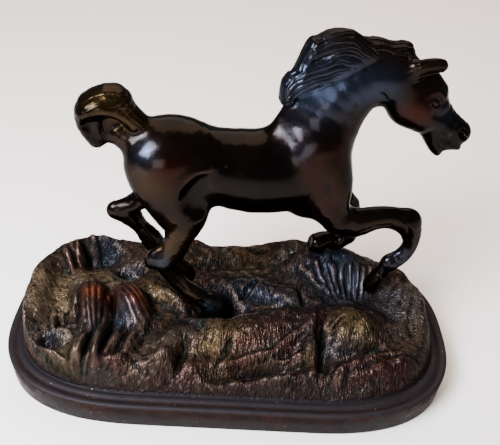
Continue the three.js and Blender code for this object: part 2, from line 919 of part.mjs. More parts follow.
function makeHorse(base) {
  const surface = relaxed(surfaceOf(horseField(), fieldStep), slideRounds);
  const geometry = geometryOf(simplified(surface, horseFaces));
  geometry.rotateZ(horseTurn * degrees);
  geometry.translate(0, horseShift, 0);
  const raisedGround = base.geometry.clone().translate(0, 0, hoofGap);
  const trimmed = solidOf(geometry).subtract(solidOf(raisedGround));
  const body = trimmed.decompose().sort((a, b) => b.volume() - a.volume())[0];
  return named('horse', geometryOfSolid(body), bronze('horse bronze', 0x3a281c, 0.35));
}

const base = makeBase();
const sculpture = new THREE.Group();
sculpture.add(base, makeHorse(base));

export default sculpture;
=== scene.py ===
import bpy
import numpy as np
from mathutils import Matrix


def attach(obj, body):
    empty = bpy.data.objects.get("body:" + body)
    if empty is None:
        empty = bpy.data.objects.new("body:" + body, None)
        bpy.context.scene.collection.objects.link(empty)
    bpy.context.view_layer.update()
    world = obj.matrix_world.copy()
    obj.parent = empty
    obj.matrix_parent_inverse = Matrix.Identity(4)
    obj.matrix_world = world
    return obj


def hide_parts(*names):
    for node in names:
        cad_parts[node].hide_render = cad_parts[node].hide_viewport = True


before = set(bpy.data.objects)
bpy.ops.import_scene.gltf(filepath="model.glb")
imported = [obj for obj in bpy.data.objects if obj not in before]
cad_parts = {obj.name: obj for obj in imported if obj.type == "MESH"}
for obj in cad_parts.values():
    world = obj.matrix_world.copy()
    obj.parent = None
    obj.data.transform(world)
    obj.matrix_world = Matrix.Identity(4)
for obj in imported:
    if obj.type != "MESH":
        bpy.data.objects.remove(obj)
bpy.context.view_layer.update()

# The finished look of a small bronze of a trotting horse on rough ground. The forms are worked
# out in millimetres and turned into metres when a mesh is made.

# Driving dimensions of the plinth and the ground on it, in millimetres and plain ratios
PLINTH_LENGTH = 220.0
PLINTH_WIDTH = 118.0
PLINTH_HEIGHT = 13.5
GROUND_FOOT = PLINTH_HEIGHT + 0.1
PLINTH_END = 75.0
END_SQUARENESS = 2.7
GROUND_INSET = 6.7
FOLD_MARGIN = 2.5
STROKE_MARGIN = 0.6
BANK_WIDTH = 9.0
TAIL_BANK_WIDTH = 2.4
BANK_ROUNDNESS = 0.55
FRONT_SOFTNESS = 0.4
GROUND_RISE = 12.0
GROUND_SLOPE = 4.0
TUSSOCK_HEIGHT = 0.9

# Driving dimensions of the horse
HORSE_TURN = np.radians(12.0)
HORSE_SHIFT = 10.0
NEAR_SIDE = -11.5
FAR_SIDE = 11.5

# How finely the meshes are worked out
COARSE_STEP = 2.0
FINE_STEP = 0.5
FORM_REACH = 2 * COARSE_STEP
FINE_REACH = 1.5 * COARSE_STEP
FAR_AWAY = 50.0
BARELY = 1e-3
SAME_PLACE = 1e-4
HORSE_FACES = 195000
BASE_FACES = 195000
OUTLINE_STEPS = 1120
OUTLINE_SAMPLES = 4000
GROUND_RINGS = 190
RING_CROWDING = 1.5
FIELD_MARGIN = 3.0
BATCH = 400000

# Rounded forms of the horse, in its own axes: +X to its head, +Y to its left side. A section is
# (x, y, z, depth, width): a centre, its half depth upright along the horse, its half width across.

# Body and neck
TRUNK = [
    (-32.1, 0, 107.9, 19.7, 17), (-26.9, 0, 107.9, 18.8, 16.6), (-13.4, 0, 102.8, 18, 16),
    (8.4, 0, 98, 20.5, 17.5), (27.5, 0, 97.1, 20.5, 17), (37.1, 0, 90.6, 19.1, 15.5),
]
NECK = [
    (33.5, 0, 108.2, 19.7, 14), (41.4, 0, 128.1, 16.7, 11), (52, 0, 140.4, 14.5, 9.5),
    (66.1, -0.5, 143.8, 12.9, 8.5),
]
CREST = [
    (18.7, 0, 117.5, 3.9, 4), (23.3, 0, 127.7, 4.7, 4), (35.5, 0, 144.2, 5.2, 4.5),
    (50, 0, 154, 4.5, 4.5), (63.7, 0, 154.2, 4.2, 4.5),
]

# Head
SKULL = [
    (71.8, -1, 141.8, 11.6, 9), (83.2, -2, 130.2, 11.7, 9), (94.6, -3, 121.7, 8, 6.8),
    (104.3, -4, 116.1, 5.9, 6),
]
CHEEK = [(77.7, -1.5, 130, 10, 8.9), (84.5, -2, 127.8, 9.6, 8.6)]
FOREHEAD = [(86.1, -2, 140.5, 5.5, 6), (89.6, -2, 137.2, 5, 5.5)]
UPPER_LIP = [(98.6, -4, 111.5, 4.3, 5.2), (104.3, -4, 109.3, 2.1, 4.4)]
CHIN = [(90.7, -2.5, 117.1, 5.1, 5.2), (94.3, -3.5, 109.6, 3.8, 4.4), (95.4, -4, 106.1, 2, 3.2)]
MOUTH = [(99, -4, 104.2, 1.1, 9), (97.8, -4, 106.6, 0.6, 9)]
EAR = [
    (70.2, -5.6, 145.6, 3, 2.8), (75.3, -8, 149.9, 3.7, 2.6), (80.6, -9, 151.3, 3.9, 2.4),
    (85.5, -9, 151.5, 3.2, 2), (86.7, -9, 151, 1.3, 1.5),
]
EAR_HOLLOW = [
    (77, -10.8, 148, 0.9, 1.3), (80.5, -11.5, 148.6, 2.2, 2.4), (85, -11, 149.4, 1.5, 1.8),
]
FAR_EAR = [(72, 6, 146, 3, 2.6), (66, 8, 149, 3.4, 2.2), (60, 9, 150, 1.6, 1.4)]
NOSTRIL = [(103.4, -9.9, 118.4, 1.8, 2.6), (105.1, -9.8, 117, 2.1, 2.8)]
EYEBALL = [(86.4, -9.1, 134.5, 1.6, 1.7), (87, -9.1, 134.3, 1.6, 1.7)]
BROW = [
    (82.5, -8.2, 138, 1.5, 1.8), (86.4, -8.4, 139.4, 1.6, 1.8), (90.3, -7.2, 136.6, 1.4, 1.8),
]
FACE_CREST = [(87, -8, 127.5, 2, 2), (97, -7.6, 119.5, 1.5, 1.6)]

# Upper locks of the mane, and the tail
FORELOCK = [(66.4, -0.5, 155.8, 3.5, 5), (71.3, -1, 156, 4, 5), (73.7, -1.5, 151.5, 2.5, 4)]
MIDDLE_LOCK = [(49.1, 0, 156.1, 4.2, 5.5), (57.2, 0, 157.8, 4.2, 5.5), (62.1, -0.5, 156.8, 3.8, 5)]
TAIL_HAIR = [
    (-42.2, 0, 123.5, 4.4, 5), (-48.7, 0, 131.7, 4.4, 6.5), (-53.9, 0, 137.5, 6.2, 8),
    (-63.6, 0, 134.2, 6.3, 8.5), (-65.2, 0, 127.2, 5.5, 7.5), (-62.5, 0, 119.3, 4.2, 5),
]
TAIL_DOCK = [
    (-43.8, 0, 116.4, 5.9, 6), (-50.9, 0, 120, 6, 5.5), (-54.9, 1.5, 123.2, 5.9, 4.5),
    (-58, 2, 129, 7, 4.5),
]
TAIL_LIP = [
    (-67.5, -4.5, 133.5, 1.5, 1.8), (-62, -6.8, 136, 2.2, 2), (-57, -7, 135, 2.2, 2),
    (-51.5, -6, 131.5, 1.8, 1.8), (-47, -4.5, 126.5, 1.4, 1.6),
]
TAIL_HOLLOW = [
    (-65.5, -10, 128.5, 3.2, 4.5), (-60.5, -11, 129.5, 3.4, 5), (-56.5, -11, 127.5, 3, 5),
]
TAIL_HOLLOW_FOOT = [(-65.2, -9.5, 127.5, 2.6, 4.5), (-63, -9.5, 121.5, 2.6, 5)]

# Near hind leg and flank
NEAR_THIGH = [
    (-36.7, -8, 106.9, 13.4, 9), (-35.4, -9, 98.8, 12.6, 9.5), (-27.9, -10, 86.9, 12.8, 9),
    (-26.6, -11, 80.1, 9.7, 7.5), (-28.7, NEAR_SIDE, 72.1, 6.9, 6.4),
    (-31.6, NEAR_SIDE, 63.9, 6.3, 5.5), (-36, NEAR_SIDE, 59, 5.5, 5),
]
NEAR_HOCK = [
    (-34, NEAR_SIDE, 66, 3.5, 3), (-40.5, NEAR_SIDE, 61.5, 3.4, 3.2), (-42, NEAR_SIDE, 57.5, 3, 3),
]
NEAR_HIND_CANNON = [
    (-36, NEAR_SIDE, 58, 5.4, 4.6), (-32, NEAR_SIDE, 49.5, 4.4, 4),
    (-27, NEAR_SIDE, 41.5, 4.3, 3.9), (-21, NEAR_SIDE, 35, 4.9, 4.5),
    (-16, NEAR_SIDE, 31, 4.6, 4.8),
]
NEAR_HIND_HOOF = [
    (-14.5, NEAR_SIDE, 30.5, 5.2, 5.6), (-11.8, NEAR_SIDE, 27, 6.6, 6.9),
    (-10.4, NEAR_SIDE, 22, 7.2, 7.4),
]
FLANK_HOLLOW = [
    (-20.5, -20.8, 104.5, 2.4, 3), (-22, -20.7, 101, 4, 4), (-23.3, -20.3, 96, 4.8, 4.6),
    (-20.5, -19.3, 90.5, 3.8, 4),
]
FLANK_FOLD = [
    (-15, -13.4, 109.8, 0.9, 1.2), (-21, -15.2, 107.6, 1.6, 1.8), (-26.8, -16.3, 102.6, 1.9, 2),
    (-28.8, -16.4, 96, 1.9, 2), (-26, -16.2, 89, 1.6, 1.8), (-21, -15.2, 85.5, 1.3, 1.6),
]

# Far hind leg
FAR_THIGH = [
    (-35.7, 8, 103.9, 13.9, 9), (-30, 9, 92, 13, 8.5), (-32, 10, 83.9, 10.1, 7.5),
    (-41.3, 11, 81.1, 6.4, 6), (-48.9, FAR_SIDE, 76.2, 3.6, 5),
]
FAR_HOCK = [(-47.9, FAR_SIDE, 76.4, 3.3, 3.8), (-56.2, FAR_SIDE, 73.4, 5, 3.8)]
FAR_HIND_CANNON = [
    (-51.1, FAR_SIDE, 71.7, 6.5, 4.6), (-45.6, FAR_SIDE, 63.4, 4, 4.2),
    (-40.4, FAR_SIDE, 55.2, 5.4, 4.2), (-35.9, FAR_SIDE, 46.6, 4.9, 4.5),
    (-31, FAR_SIDE, 40, 4.6, 4.6),
]
FAR_HIND_HOOF = [
    (-30, FAR_SIDE, 39, 4.6, 4.8), (-25.5, FAR_SIDE, 33.5, 5.9, 6), (-24, FAR_SIDE, 29, 6.3, 6.5),
]

# Near foreleg
NEAR_SHOULDER = [
    (35.8, -8, 112, 11.9, 8), (42.3, -10, 95.6, 10.2, 7.8), (43.2, -11, 83.4, 9.3, 7.8),
    (47.8, -11.3, 76.7, 7.2, 7.2),
]
NEAR_FOREARM = [
    (48.3, -11, 74.4, 6.8, 7), (56.9, NEAR_SIDE, 72.5, 7.9, 5.8), (66.9, NEAR_SIDE, 74.4, 6.3, 5),
    (75.2, NEAR_SIDE, 74.1, 5.9, 4.6), (85, NEAR_SIDE, 70.7, 6.8, 5),
]
NEAR_FORE_CANNON = [
    (83.7, NEAR_SIDE, 71.7, 6.4, 5), (87.4, NEAR_SIDE, 65.3, 5.7, 4.6),
    (88.9, NEAR_SIDE, 56.9, 4, 4), (85.9, NEAR_SIDE, 49.7, 4.5, 3.6),
    (79.9, NEAR_SIDE, 45.5, 5, 3.8),
]
NEAR_FORE_HOOF = [
    (79.8, NEAR_SIDE, 45.4, 4.2, 3.8), (76, NEAR_SIDE, 40, 3.4, 3.4),
    (73.5, NEAR_SIDE, 36, 3.6, 3.8), (71.5, NEAR_SIDE, 31, 4, 4.2),
]

# Far foreleg
FAR_FOREARM = [
    (40.2, 8, 90.1, 12.1, 7.5), (48.6, 9.5, 77.8, 8.7, 6.5), (60.8, 11, 67.1, 6.8, 5.4),
    (63.9, FAR_SIDE, 56.2, 5.3, 4.7), (64.7, FAR_SIDE, 48.5, 4.3, 4.6),
]
FAR_FORE_CANNON = [
    (63.6, FAR_SIDE, 46.4, 4, 4.4), (58.3, FAR_SIDE, 42.8, 3.9, 3.4),
    (52.5, FAR_SIDE, 45.7, 4.7, 4.2), (47.7, FAR_SIDE, 43.9, 5.6, 5.4),
]
FAR_SOLE = [(42, 11, 44.6, 1.6, 3.2), (42.8, 11, 48.6, 1.6, 3.2)]


def locks(upper, lower, count, y, depths, width):
    """Locks of hair that fan out between an upper and a lower line of (x, z) points."""
    result = []
    for i in range(count):
        share = i / (count - 1)
        sections = []
        for n, (a, b) in enumerate(zip(upper, lower)):
            x = a[0] + (b[0] - a[0]) * share
            z = a[1] + (b[1] - a[1]) * share
            fullness = 0.75 + 0.25 * np.sin(np.pi * (n + 1) / (len(upper) + 1))
            sections.append((x, y, z, depths[n], width * fullness))
        result.append(sections)
    return result


MANE_LOCKS = locks(
    [(55.2, 156.1), (45.2, 162.7), (36.5, 162.9), (29.3, 159)],
    [(49, 152), (40.8, 154.3), (33.7, 148.4), (24.6, 145.9)],
    4, -1.5, [3, 3.2, 2.9, 1.9], 5,
) + locks(
    [(47, 152), (37.3, 151.7), (26.1, 148.6), (19.2, 142.7)],
    [(43, 149), (34, 145.5), (26.5, 141.5), (18.3, 135.5)],
    3, -2.5, [3, 3, 2.6, 1.8], 4.6,
)

# The two rounded ends of the mane, so that its outline doesn't step from lock to lock
MANE_TIP = [
    (29.3, -1.5, 160.6, 2, 4), (27.2, -1.5, 156.5, 2.1, 4.2), (25.3, -1.5, 151.5, 2, 4),
    (24.2, -1.5, 147, 1.8, 3.8),
]
MANE_FOOT = [
    (20.3, -2.5, 145.2, 1.8, 3.8), (18.7, -2.5, 141.6, 1.9, 4), (18.7, -2.5, 137.5, 1.8, 4),
    (19.2, -2.5, 134.6, 1.5, 3.4),
]


def mirrored(sections, y):
    return [(s[0], 2 * y - s[1], s[2], s[3], s[4]) for s in sections]


# Each form with how widely it melts into the forms before it
SWELLINGS = [
    (TRUNK, 1), (NECK, 9), (CREST, 6), (SKULL, 5), (CHEEK, 4), (FOREHEAD, 4), (UPPER_LIP, 2.5),
    (CHIN, 3), (BROW, 2), (FACE_CREST, 3), (NEAR_THIGH, 7), (FLANK_FOLD, 4.5), (NEAR_HOCK, 3),
    (NEAR_HIND_CANNON, 2), (NEAR_HIND_HOOF, 1), (FAR_THIGH, 7), (FAR_HOCK, 3), (FAR_HIND_CANNON, 2),
    (FAR_HIND_HOOF, 1), (NEAR_SHOULDER, 5), (NEAR_FOREARM, 4), (NEAR_FORE_CANNON, 2),
    (NEAR_FORE_HOOF, 1.5), (FAR_FOREARM, 7), (FAR_FORE_CANNON, 2), (TAIL_DOCK, 5), (TAIL_HAIR, 4),
    (TAIL_LIP, 3), (MIDDLE_LOCK, 2.5), (FORELOCK, 2),
    *((lock, 2.6) for lock in MANE_LOCKS),
    (MANE_TIP, 2.5), (MANE_FOOT, 2.5), (EAR, 3), (FAR_EAR, 2),
]

# The hollows then cut into them, and the eyeballs, added last
HOLLOWS = [
    (MOUTH, 0.8), (NOSTRIL, 1), (mirrored(NOSTRIL, -4), 1), (EAR_HOLLOW, 1), (TAIL_HOLLOW, 2.5),
    (TAIL_HOLLOW_FOOT, 3), (FLANK_HOLLOW, 6), (FAR_SOLE, 0.8),
]
EYES = [(EYEBALL, 0.5), (mirrored(EYEBALL, -2), 0.5)]


def soft_min(a, b, reach):
    overlap = np.maximum(reach - np.abs(a - b), 0) / reach
    return np.minimum(a, b) - overlap * overlap * reach / 4


def soft_max(a, b, reach):
    return -soft_min(-a, -b, reach)


def ease(value, low, high):
    t = np.clip((value - low) / (high - low), 0, 1)
    return t * t * (3 - 2 * t)


class Form:
    """A rounded form that swells smoothly from section to section."""

    def __init__(self, sections, blend, steps=3):
        s = np.array(sections, float)
        last = len(s) - 1
        rings = []
        for i in range(last):
            a, b, c, d = (s[min(max(i + k, 0), last)] for k in (-1, 0, 1, 2))
            for t in np.arange(steps) / steps:
                square, cube = 2 * a - 5 * b + 4 * c - d, 3 * b - a - 3 * c + d
                rings.append(b + ((c - a) * t + square * t**2 + cube * t**3) / 2)
        rings.append(s[last])
        self.rings = np.array(rings)
        self.blend = blend
        self.flatness = max(1.0, (self.rings[:, 4] / self.rings[:, 3]).max())
        self.lengths = np.linalg.norm(np.diff(self.rings[:, :3], axis=0), axis=1)

    def near(self, points, margin):
        """Numbers of the points in the form's box, widened by a margin."""
        reach = self.rings[:, [3, 4, 3]]
        margins = np.array([margin, margin * self.flatness, margin])
        low = (self.rings[:, :3] - reach).min(axis=0) - margins
        high = (self.rings[:, :3] + reach).max(axis=0) + margins
        return np.flatnonzero(((points > low) & (points < high)).all(axis=1))

    def measure(self, points):
        """Distance to the form, how far along it, and the angle round it, for each point."""
        nearest = np.full(len(points), np.inf)
        along = np.zeros(len(points))
        angle = np.zeros(len(points))
        start = 0.0
        for a, b, length in zip(self.rings[:-1], self.rings[1:], self.lengths):
            line = b[:3] - a[:3]
            t = np.clip((points - a[:3]) @ line / (line @ line), 0, 1)
            ring = a + (b - a) * t[:, None]
            off = points - ring[:, :3]
            across = off[:, 1] * ring[:, 3] / ring[:, 4]
            distance = np.sqrt(off[:, 0] ** 2 + across**2 + off[:, 2] ** 2) - ring[:, 3]
            better = distance < nearest
            nearest = np.where(better, distance, nearest)
            along = np.where(better, start + t * length, along)
            up = (off[:, 2] * line[0] - off[:, 0] * line[2]) / length
            angle = np.where(better, np.arctan2(up, -across), angle)
            start += length
        return nearest, along, angle


SOLIDS = [Form(*item) for item in SWELLINGS]
CUTS = [Form(*item) for item in HOLLOWS]
EYEBALLS = [Form(*item) for item in EYES]


def horse_distance(points):
    result = np.full(len(points), FAR_AWAY)
    for forms, join in ((SOLIDS, 1), (CUTS, -1), (EYEBALLS, 1)):
        for form in forms:
            some = form.near(points, form.blend + FORM_REACH)
            distance = form.measure(points[some])[0]
            if join > 0:
                result[some] = soft_min(result[some], distance, form.blend)
            else:
                result[some] = soft_max(result[some], -distance, form.blend)
    return result


# A closed surface of quads around the inside of a field

CUBE = tuple(np.ndindex(2, 2, 2))
CUBE_EDGES = [(corner, axis) for corner in CUBE for axis in range(3) if not corner[axis]]
UNIT = np.eye(3, dtype=int)


def window(start, size):
    """A part of a grid, of the given size from the given corner on."""
    return tuple(slice(first, first + count) for first, count in zip(start, size))


def flip(values, corner):
    """Takes a corner just over to the other side of the surface."""
    values[corner] = -np.sign(values[corner]) * BARELY


def settle(values, rounds=30):
    """Flips the weakest corners where two parts of the inside only meet at an edge or a point."""
    cells = np.array(values.shape) - 1
    for _ in range(rounds):
        changed = 0
        for axis in range(3):
            inside = values < 0
            u, v = np.delete(UNIT, axis, axis=0)
            square = (0 * u, u, v, u + v)
            a, b, c, d = (inside[window(start, cells + UNIT[axis])] for start in square)
            for cell in np.argwhere((a == d) & (b == c) & (a != b)):
                corners = [tuple(cell + start) for start in square]
                flip(values, min(corners, key=lambda corner: abs(values[corner])))
                changed += 1
        inside = values < 0
        total = sum(inside[window(corner, cells)].astype(np.int8) for corner in CUBE)
        for corner in (0 * UNIT[0], *UNIT):
            one, other = inside[window(corner, cells)], inside[window(1 - corner, cells)]
            pair = (one & other & (total == 2)) | (~one & ~other & (total == 6))
            for cell in np.argwhere(pair):
                flip(values, tuple(cell + corner))
                changed += 1
        if not changed:
            return


def surface_of(values, low, step):
    """A point in each cell that the surface crosses, and a quad round each edge that it crosses."""
    inside = values < 0
    cells = np.array(values.shape) - 1
    total = sum(inside[window(corner, cells)].astype(np.int8) for corner in CUBE)
    mixed = np.argwhere((total > 0) & (total < 8))
    number = np.full(cells, -1, np.int64)
    number[tuple(mixed.T)] = np.arange(len(mixed))
    place = np.zeros((len(mixed), 3))
    count = np.zeros(len(mixed))
    for corner, axis in CUBE_EDGES:
        a, b = (values[tuple((mixed + end).T)] for end in (corner, corner + UNIT[axis]))
        cross = (a < 0) != (b < 0)
        spot = np.tile(np.array(corner, float), (len(mixed), 1))
        spot[:, axis] = np.where(cross, a / np.where(cross, a - b, 1), 0)
        place += spot * cross[:, None]
        count += cross
    points = low + (mixed + place / count[:, None]) * step

    quads = []
    for axis in range(3):
        u, v = UNIT[(axis + 1) % 3], UNIT[(axis + 2) % 3]
        start = u + v
        a, b = (inside[window(end, cells - start)] for end in (start, start + UNIT[axis]))
        where = np.argwhere(a != b) + start
        ring = np.stack([number[tuple((where - cell).T)] for cell in (0, u, u + v, v)], axis=1)
        outward = inside[tuple(where.T)]
        ring[~outward] = ring[~outward][:, ::-1]
        quads.append(ring)
    return points, np.concatenate(quads)


def horse_surface():
    """The horse's surface, worked out finely only where a coarse grid shows it near."""
    centres = np.concatenate([form.rings[:, :3] for form in SOLIDS])
    radii = np.concatenate([form.rings[:, 3:].max(axis=1) for form in SOLIDS])[:, None]
    low = (centres - radii).min(axis=0) - FIELD_MARGIN
    high = (centres + radii).max(axis=0) + FIELD_MARGIN
    ratio = round(COARSE_STEP / FINE_STEP)
    counts = np.ceil((high - low) / COARSE_STEP).astype(int)
    grid = np.stack(np.meshgrid(*(np.arange(n + 1) for n in counts), indexing="ij"), axis=-1)
    coarse = horse_distance(low + grid.reshape(-1, 3) * COARSE_STEP).reshape(grid.shape[:3])
    fine = coarse[:-1, :-1, :-1]
    for axis in range(3):
        fine = np.repeat(fine, ratio, axis)
    fine = np.where(fine < 0, -FAR_AWAY, FAR_AWAY)
    near = np.zeros(tuple(counts), bool)
    for corner in CUBE:
        near |= np.abs(coarse[window(corner, counts)]) < FINE_REACH
    local = np.array(list(np.ndindex(ratio, ratio, ratio)))
    index = (np.argwhere(near)[:, None, :] * ratio + local[None]).reshape(-1, 3)
    for start in range(0, len(index), BATCH):
        part = index[start:start + BATCH]
        fine[tuple(part.T)] = horse_distance(low + part * FINE_STEP)
    settle(fine)
    return surface_of(fine, low, FINE_STEP)


def halves(quads):
    return np.concatenate([quads[:, [0, 1, 2]], quads[:, [0, 2, 3]]])


def vertex_normals(points, triangles):
    a, b, c = (points[triangles[:, n]] for n in range(3))
    normal = np.cross(b - a, c - a)
    total = np.zeros_like(points)
    for corner in triangles.T:
        for axis in range(3):
            total[:, axis] += np.bincount(corner, normal[:, axis], len(points))
    return total / np.maximum(np.linalg.norm(total, axis=1), 1e-12)[:, None]


def onto_field(points, triangles):
    """Moves points along the surface's normals onto the field's surface."""
    normal = vertex_normals(points, triangles)
    step = horse_distance(points)
    moved = points - normal * np.clip(step, -0.5, 0.5)[:, None]
    left = horse_distance(moved)
    with np.errstate(divide="ignore", invalid="ignore"):
        scale = np.nan_to_num(step / (step - left), nan=1.0, posinf=1.0, neginf=1.0)
    return moved - normal * np.clip(left * np.clip(scale, 0.5, 2), -0.3, 0.3)[:, None]


# A triangle's parts by how many of its edges are split: 0 to 2 are its corners, 3 to 5 the middles
SPLITS = (
    [(0, 1, 2)],
    [(0, 3, 2), (3, 1, 2)],
    [(0, 3, 2), (3, 4, 2), (3, 1, 4)],
    [(0, 3, 5), (3, 1, 4), (5, 4, 2), (3, 4, 5)],
)


def finer(points, triangles, wanted):
    """Splits every edge whose two ends are wanted, with the triangles on it."""
    edges = np.sort(np.stack([triangles, np.roll(triangles, -1, axis=1)], axis=-1), axis=-1)
    keys = edges[..., 0].astype(np.int64) * len(points) + edges[..., 1]
    unique, which = np.unique(keys.ravel(), return_inverse=True)
    ends = np.stack([unique // len(points), unique % len(points)], axis=1)
    split = wanted[ends].all(axis=1)
    number = np.full(len(unique), -1)
    number[split] = len(points) + np.arange(split.sum())
    middles = number[which.reshape(-1, 3)]
    cut = middles >= 0
    amount = cut.sum(axis=1)
    # Each triangle is turned so that its cut edges come first
    first = np.where(amount == 2, ((~cut).argmax(axis=1) + 1) % 3, cut.argmax(axis=1))
    turn = (first[:, None] + np.arange(3)) % 3
    whole = np.concatenate([np.take_along_axis(part, turn, 1) for part in (triangles, middles)], axis=1)
    result = [whole[amount == size][:, part] for size, parts in enumerate(SPLITS) for part in parts]
    return np.concatenate([points, points[ends[split]].mean(axis=1)]), np.concatenate(result)


# Strands of hair

# Each lock with the number of its strands and the depth between them; the ear stays smooth
HAIR = [
    (TAIL_HAIR, 44, 0.1), (MIDDLE_LOCK, 18, 0.4), (FORELOCK, 14, 0.5),
    *((lock, 14, 0.5) for lock in MANE_LOCKS),
    (MANE_TIP, 12, 0.35), (MANE_FOOT, 12, 0.35), (EAR, 2, 0),
]

# How far a lock's strands reach off its own form, and the spot round which they run out
HAIR_REACH = 1.3
EAR_ROOT = (71, -7, 147)


def groove(turn):
    """One at every half turn and falling to nothing between, for grooves side by side."""
    return (1 - np.abs(np.sin(turn))) ** 1.6


def hair_relief(points, field):
    """Depth of the grooves between strands, and how much of a point is hair."""
    depth = np.zeros(len(points))
    share = np.zeros(len(points))
    best = np.full(len(points), HAIR_REACH)
    for n, (sections, strands, cut) in enumerate(HAIR):
        form = Form(sections, 1.0)
        some = form.near(points, 1.5)
        distance, along, angle = form.measure(points[some])
        off = np.abs(distance - field[some])
        closer = off < best[some] + (0 if cut else 1)
        wave = 0.5 * np.sin(along / 3.4 + n * 1.7 + 0.6 * angle) + 0.25 * np.sin(along / 1.7 + 2.3 * n)
        turn = angle * strands / 2 + 1.4 * wave
        thick = groove(turn / 3 + 0.4 * n + 0.3 * wave)
        thin = groove(turn)
        hair = groove(2 * turn + np.sin(along / 2.3 + n))
        weight = 1 - ease(off, 0.5, HAIR_REACH)
        ids = some[closer]
        depth[ids] = (cut * (1.5 * thick + 0.6 * thin + 0.2 * hair) * weight)[closer]
        share[ids] = weight[closer] if cut else 0
        best[ids] = off[closer]
    calm = ease(np.linalg.norm(points - EAR_ROOT, axis=1), 3.5, 7)
    return depth * calm, share


# Ridges and creases modelled on the horse, drawn on its side view
# Each is the side it is on (-1 near, 0 both, 1 far), half width, height, and its line of (x, z)
MARKS = [
    # Eye, its lids and brow
    (0, 0.45, 0.22, [(83.6, 134.7), (84.6, 136.6), (86.6, 137.1), (88.6, 135.8), (89.6, 133.8)]),
    (0, 0.45, 0.16, [(89.6, 133.8), (88, 132), (85.7, 132.1), (83.6, 134.7)]),
    (0, 0.4, -0.3, [(84.6, 134.6), (85.5, 135.9), (86.8, 136.2), (88, 135.2), (88.7, 133.9)]),
    (0, 0.4, -0.25, [(88.7, 133.9), (87.6, 132.9), (86.1, 133), (84.6, 134.6)]),
    (0, 1, -0.2, [(83, 138), (85.2, 139.4), (88.2, 138.6), (90.2, 136.4)]),
    # Face
    (0, 1.5, 0.4, [(90.9, 137.5), (93.3, 132.6), (95.6, 127.6), (99.2, 123.4)]),
    (0, 2.3, -0.7, [(87.4, 128.8), (90.4, 127.8), (93, 128)]),
    (0, 2, 0.25, [(86, 124.6), (91.2, 122.2), (96, 119.6)]),
    (0, 0.5, -0.35, [(60.2, 140), (62.2, 138.2), (63.9, 136.2)]),
    (0, 0.4, 0.2, [(61, 141), (63.2, 138.9), (64.9, 136.6)]),
    # Nostril and lips
    (0, 0.8, 0.18, [(100.4, 117.6), (100.6, 120.6), (102.8, 122.2), (106, 120.6), (107.6, 117.2)]),
    (0, 0.8, 0.15, [(107.6, 117.2), (106.2, 113.8), (102.8, 114), (100.4, 117.6)]),
    (0, 0.7, -0.2, [(98.4, 118.4), (98.2, 115), (99.6, 112)]),
    (0, 0.6, -0.2, [(101.2, 111.4), (104, 110), (106.4, 110.6)]),
    (0, 0.7, -0.25, [(97.4, 107.6), (95, 110.6), (92.6, 113.4)]),
    # Ear
    (-1, 0.7, 0.3, [(75, 146.3), (80, 147.6), (84.8, 148.9)]),
    (-1, 0.8, -0.4, [(78.5, 149.6), (83.5, 150.3)]),
    (-1, 0.9, -0.4, [(75, 143.8), (80, 144.9)]),
    # Neck and shoulder
    (0, 4, -0.25, [(26.7, 138), (32.9, 131), (38.2, 127.8), (43.5, 126)]),
    (0, 2.6, -0.35, [(48.5, 133.5), (45.6, 127), (45.4, 118.7), (47, 107.5), (49.4, 99.2)]),
    (0, 3.6, 0.25, [(22.5, 129.9), (24.8, 121), (27.4, 112), (30.4, 101), (33.6, 89)]),
    (0, 3.6, -0.35, [(17, 126), (19.4, 117), (22, 108), (24.6, 98), (27.6, 88)]),
    (-1, 2.6, 0.2, [(33, 98), (38, 85), (44, 75)]),
    (-1, 2.6, -0.25, [(38.5, 99), (43, 87), (49, 79)]),
    # Belly and flank
    (0, 3, -0.25, [(-10, 92.5), (6, 86.5), (22, 84)]),
    # Near hind leg
    (-1, 2.4, -0.25, [(-47, 111), (-44, 100), (-38, 90), (-34, 81)]),
    (-1, 1.2, -0.3, [(-37, 68), (-34, 75), (-31, 82)]),
    (-1, 1.2, 0.25, [(-40.5, 62), (-36, 62.5), (-32, 66)]),
    (-1, 0.9, -0.25, [(-35.5, 56), (-30.5, 47.5), (-25.5, 41)]),
    (-1, 0.7, 0.3, [(-19.4, 36.4), (-15, 34.6), (-11.2, 32.4), (-8.4, 28.4)]),
    (-1, 0.6, -0.35, [(-19.8, 34.4), (-15.6, 32.6), (-12, 30.6), (-9.6, 26.4)]),
    (-1, 0.4, 0.25, [(-17, 30), (-13.4, 28), (-11, 24)]),
    # Near foreleg
    (-1, 1.1, -0.3, [(58, 70.5), (66, 73), (74, 72.8)]),
    (-1, 1.1, 0.3, [(81, 73.5), (86, 70), (88, 65)]),
    (-1, 0.9, -0.3, [(79.5, 76.5), (83, 71.5), (84, 67)]),
    (-1, 0.8, -0.3, [(90, 63), (90.4, 57), (87.6, 51)]),
    (-1, 0.4, -0.25, [(82.6, 51.6), (84.6, 48.6)]),
    (-1, 0.4, -0.25, [(80.4, 50.2), (82.2, 46.8)]),
    (-1, 0.5, 0.3, [(73.4, 39.4), (75.8, 37.8), (78.2, 37.2)]),
    # Far legs
    (1, 0.9, -0.3, [(-46, 66), (-42.5, 57), (-38, 49)]),
    (1, 0.7, 0.3, [(-33, 39.6), (-29.4, 37.4), (-27.6, 33.6)]),
    (1, 0.9, -0.3, [(62, 60), (63.4, 52)]),
]


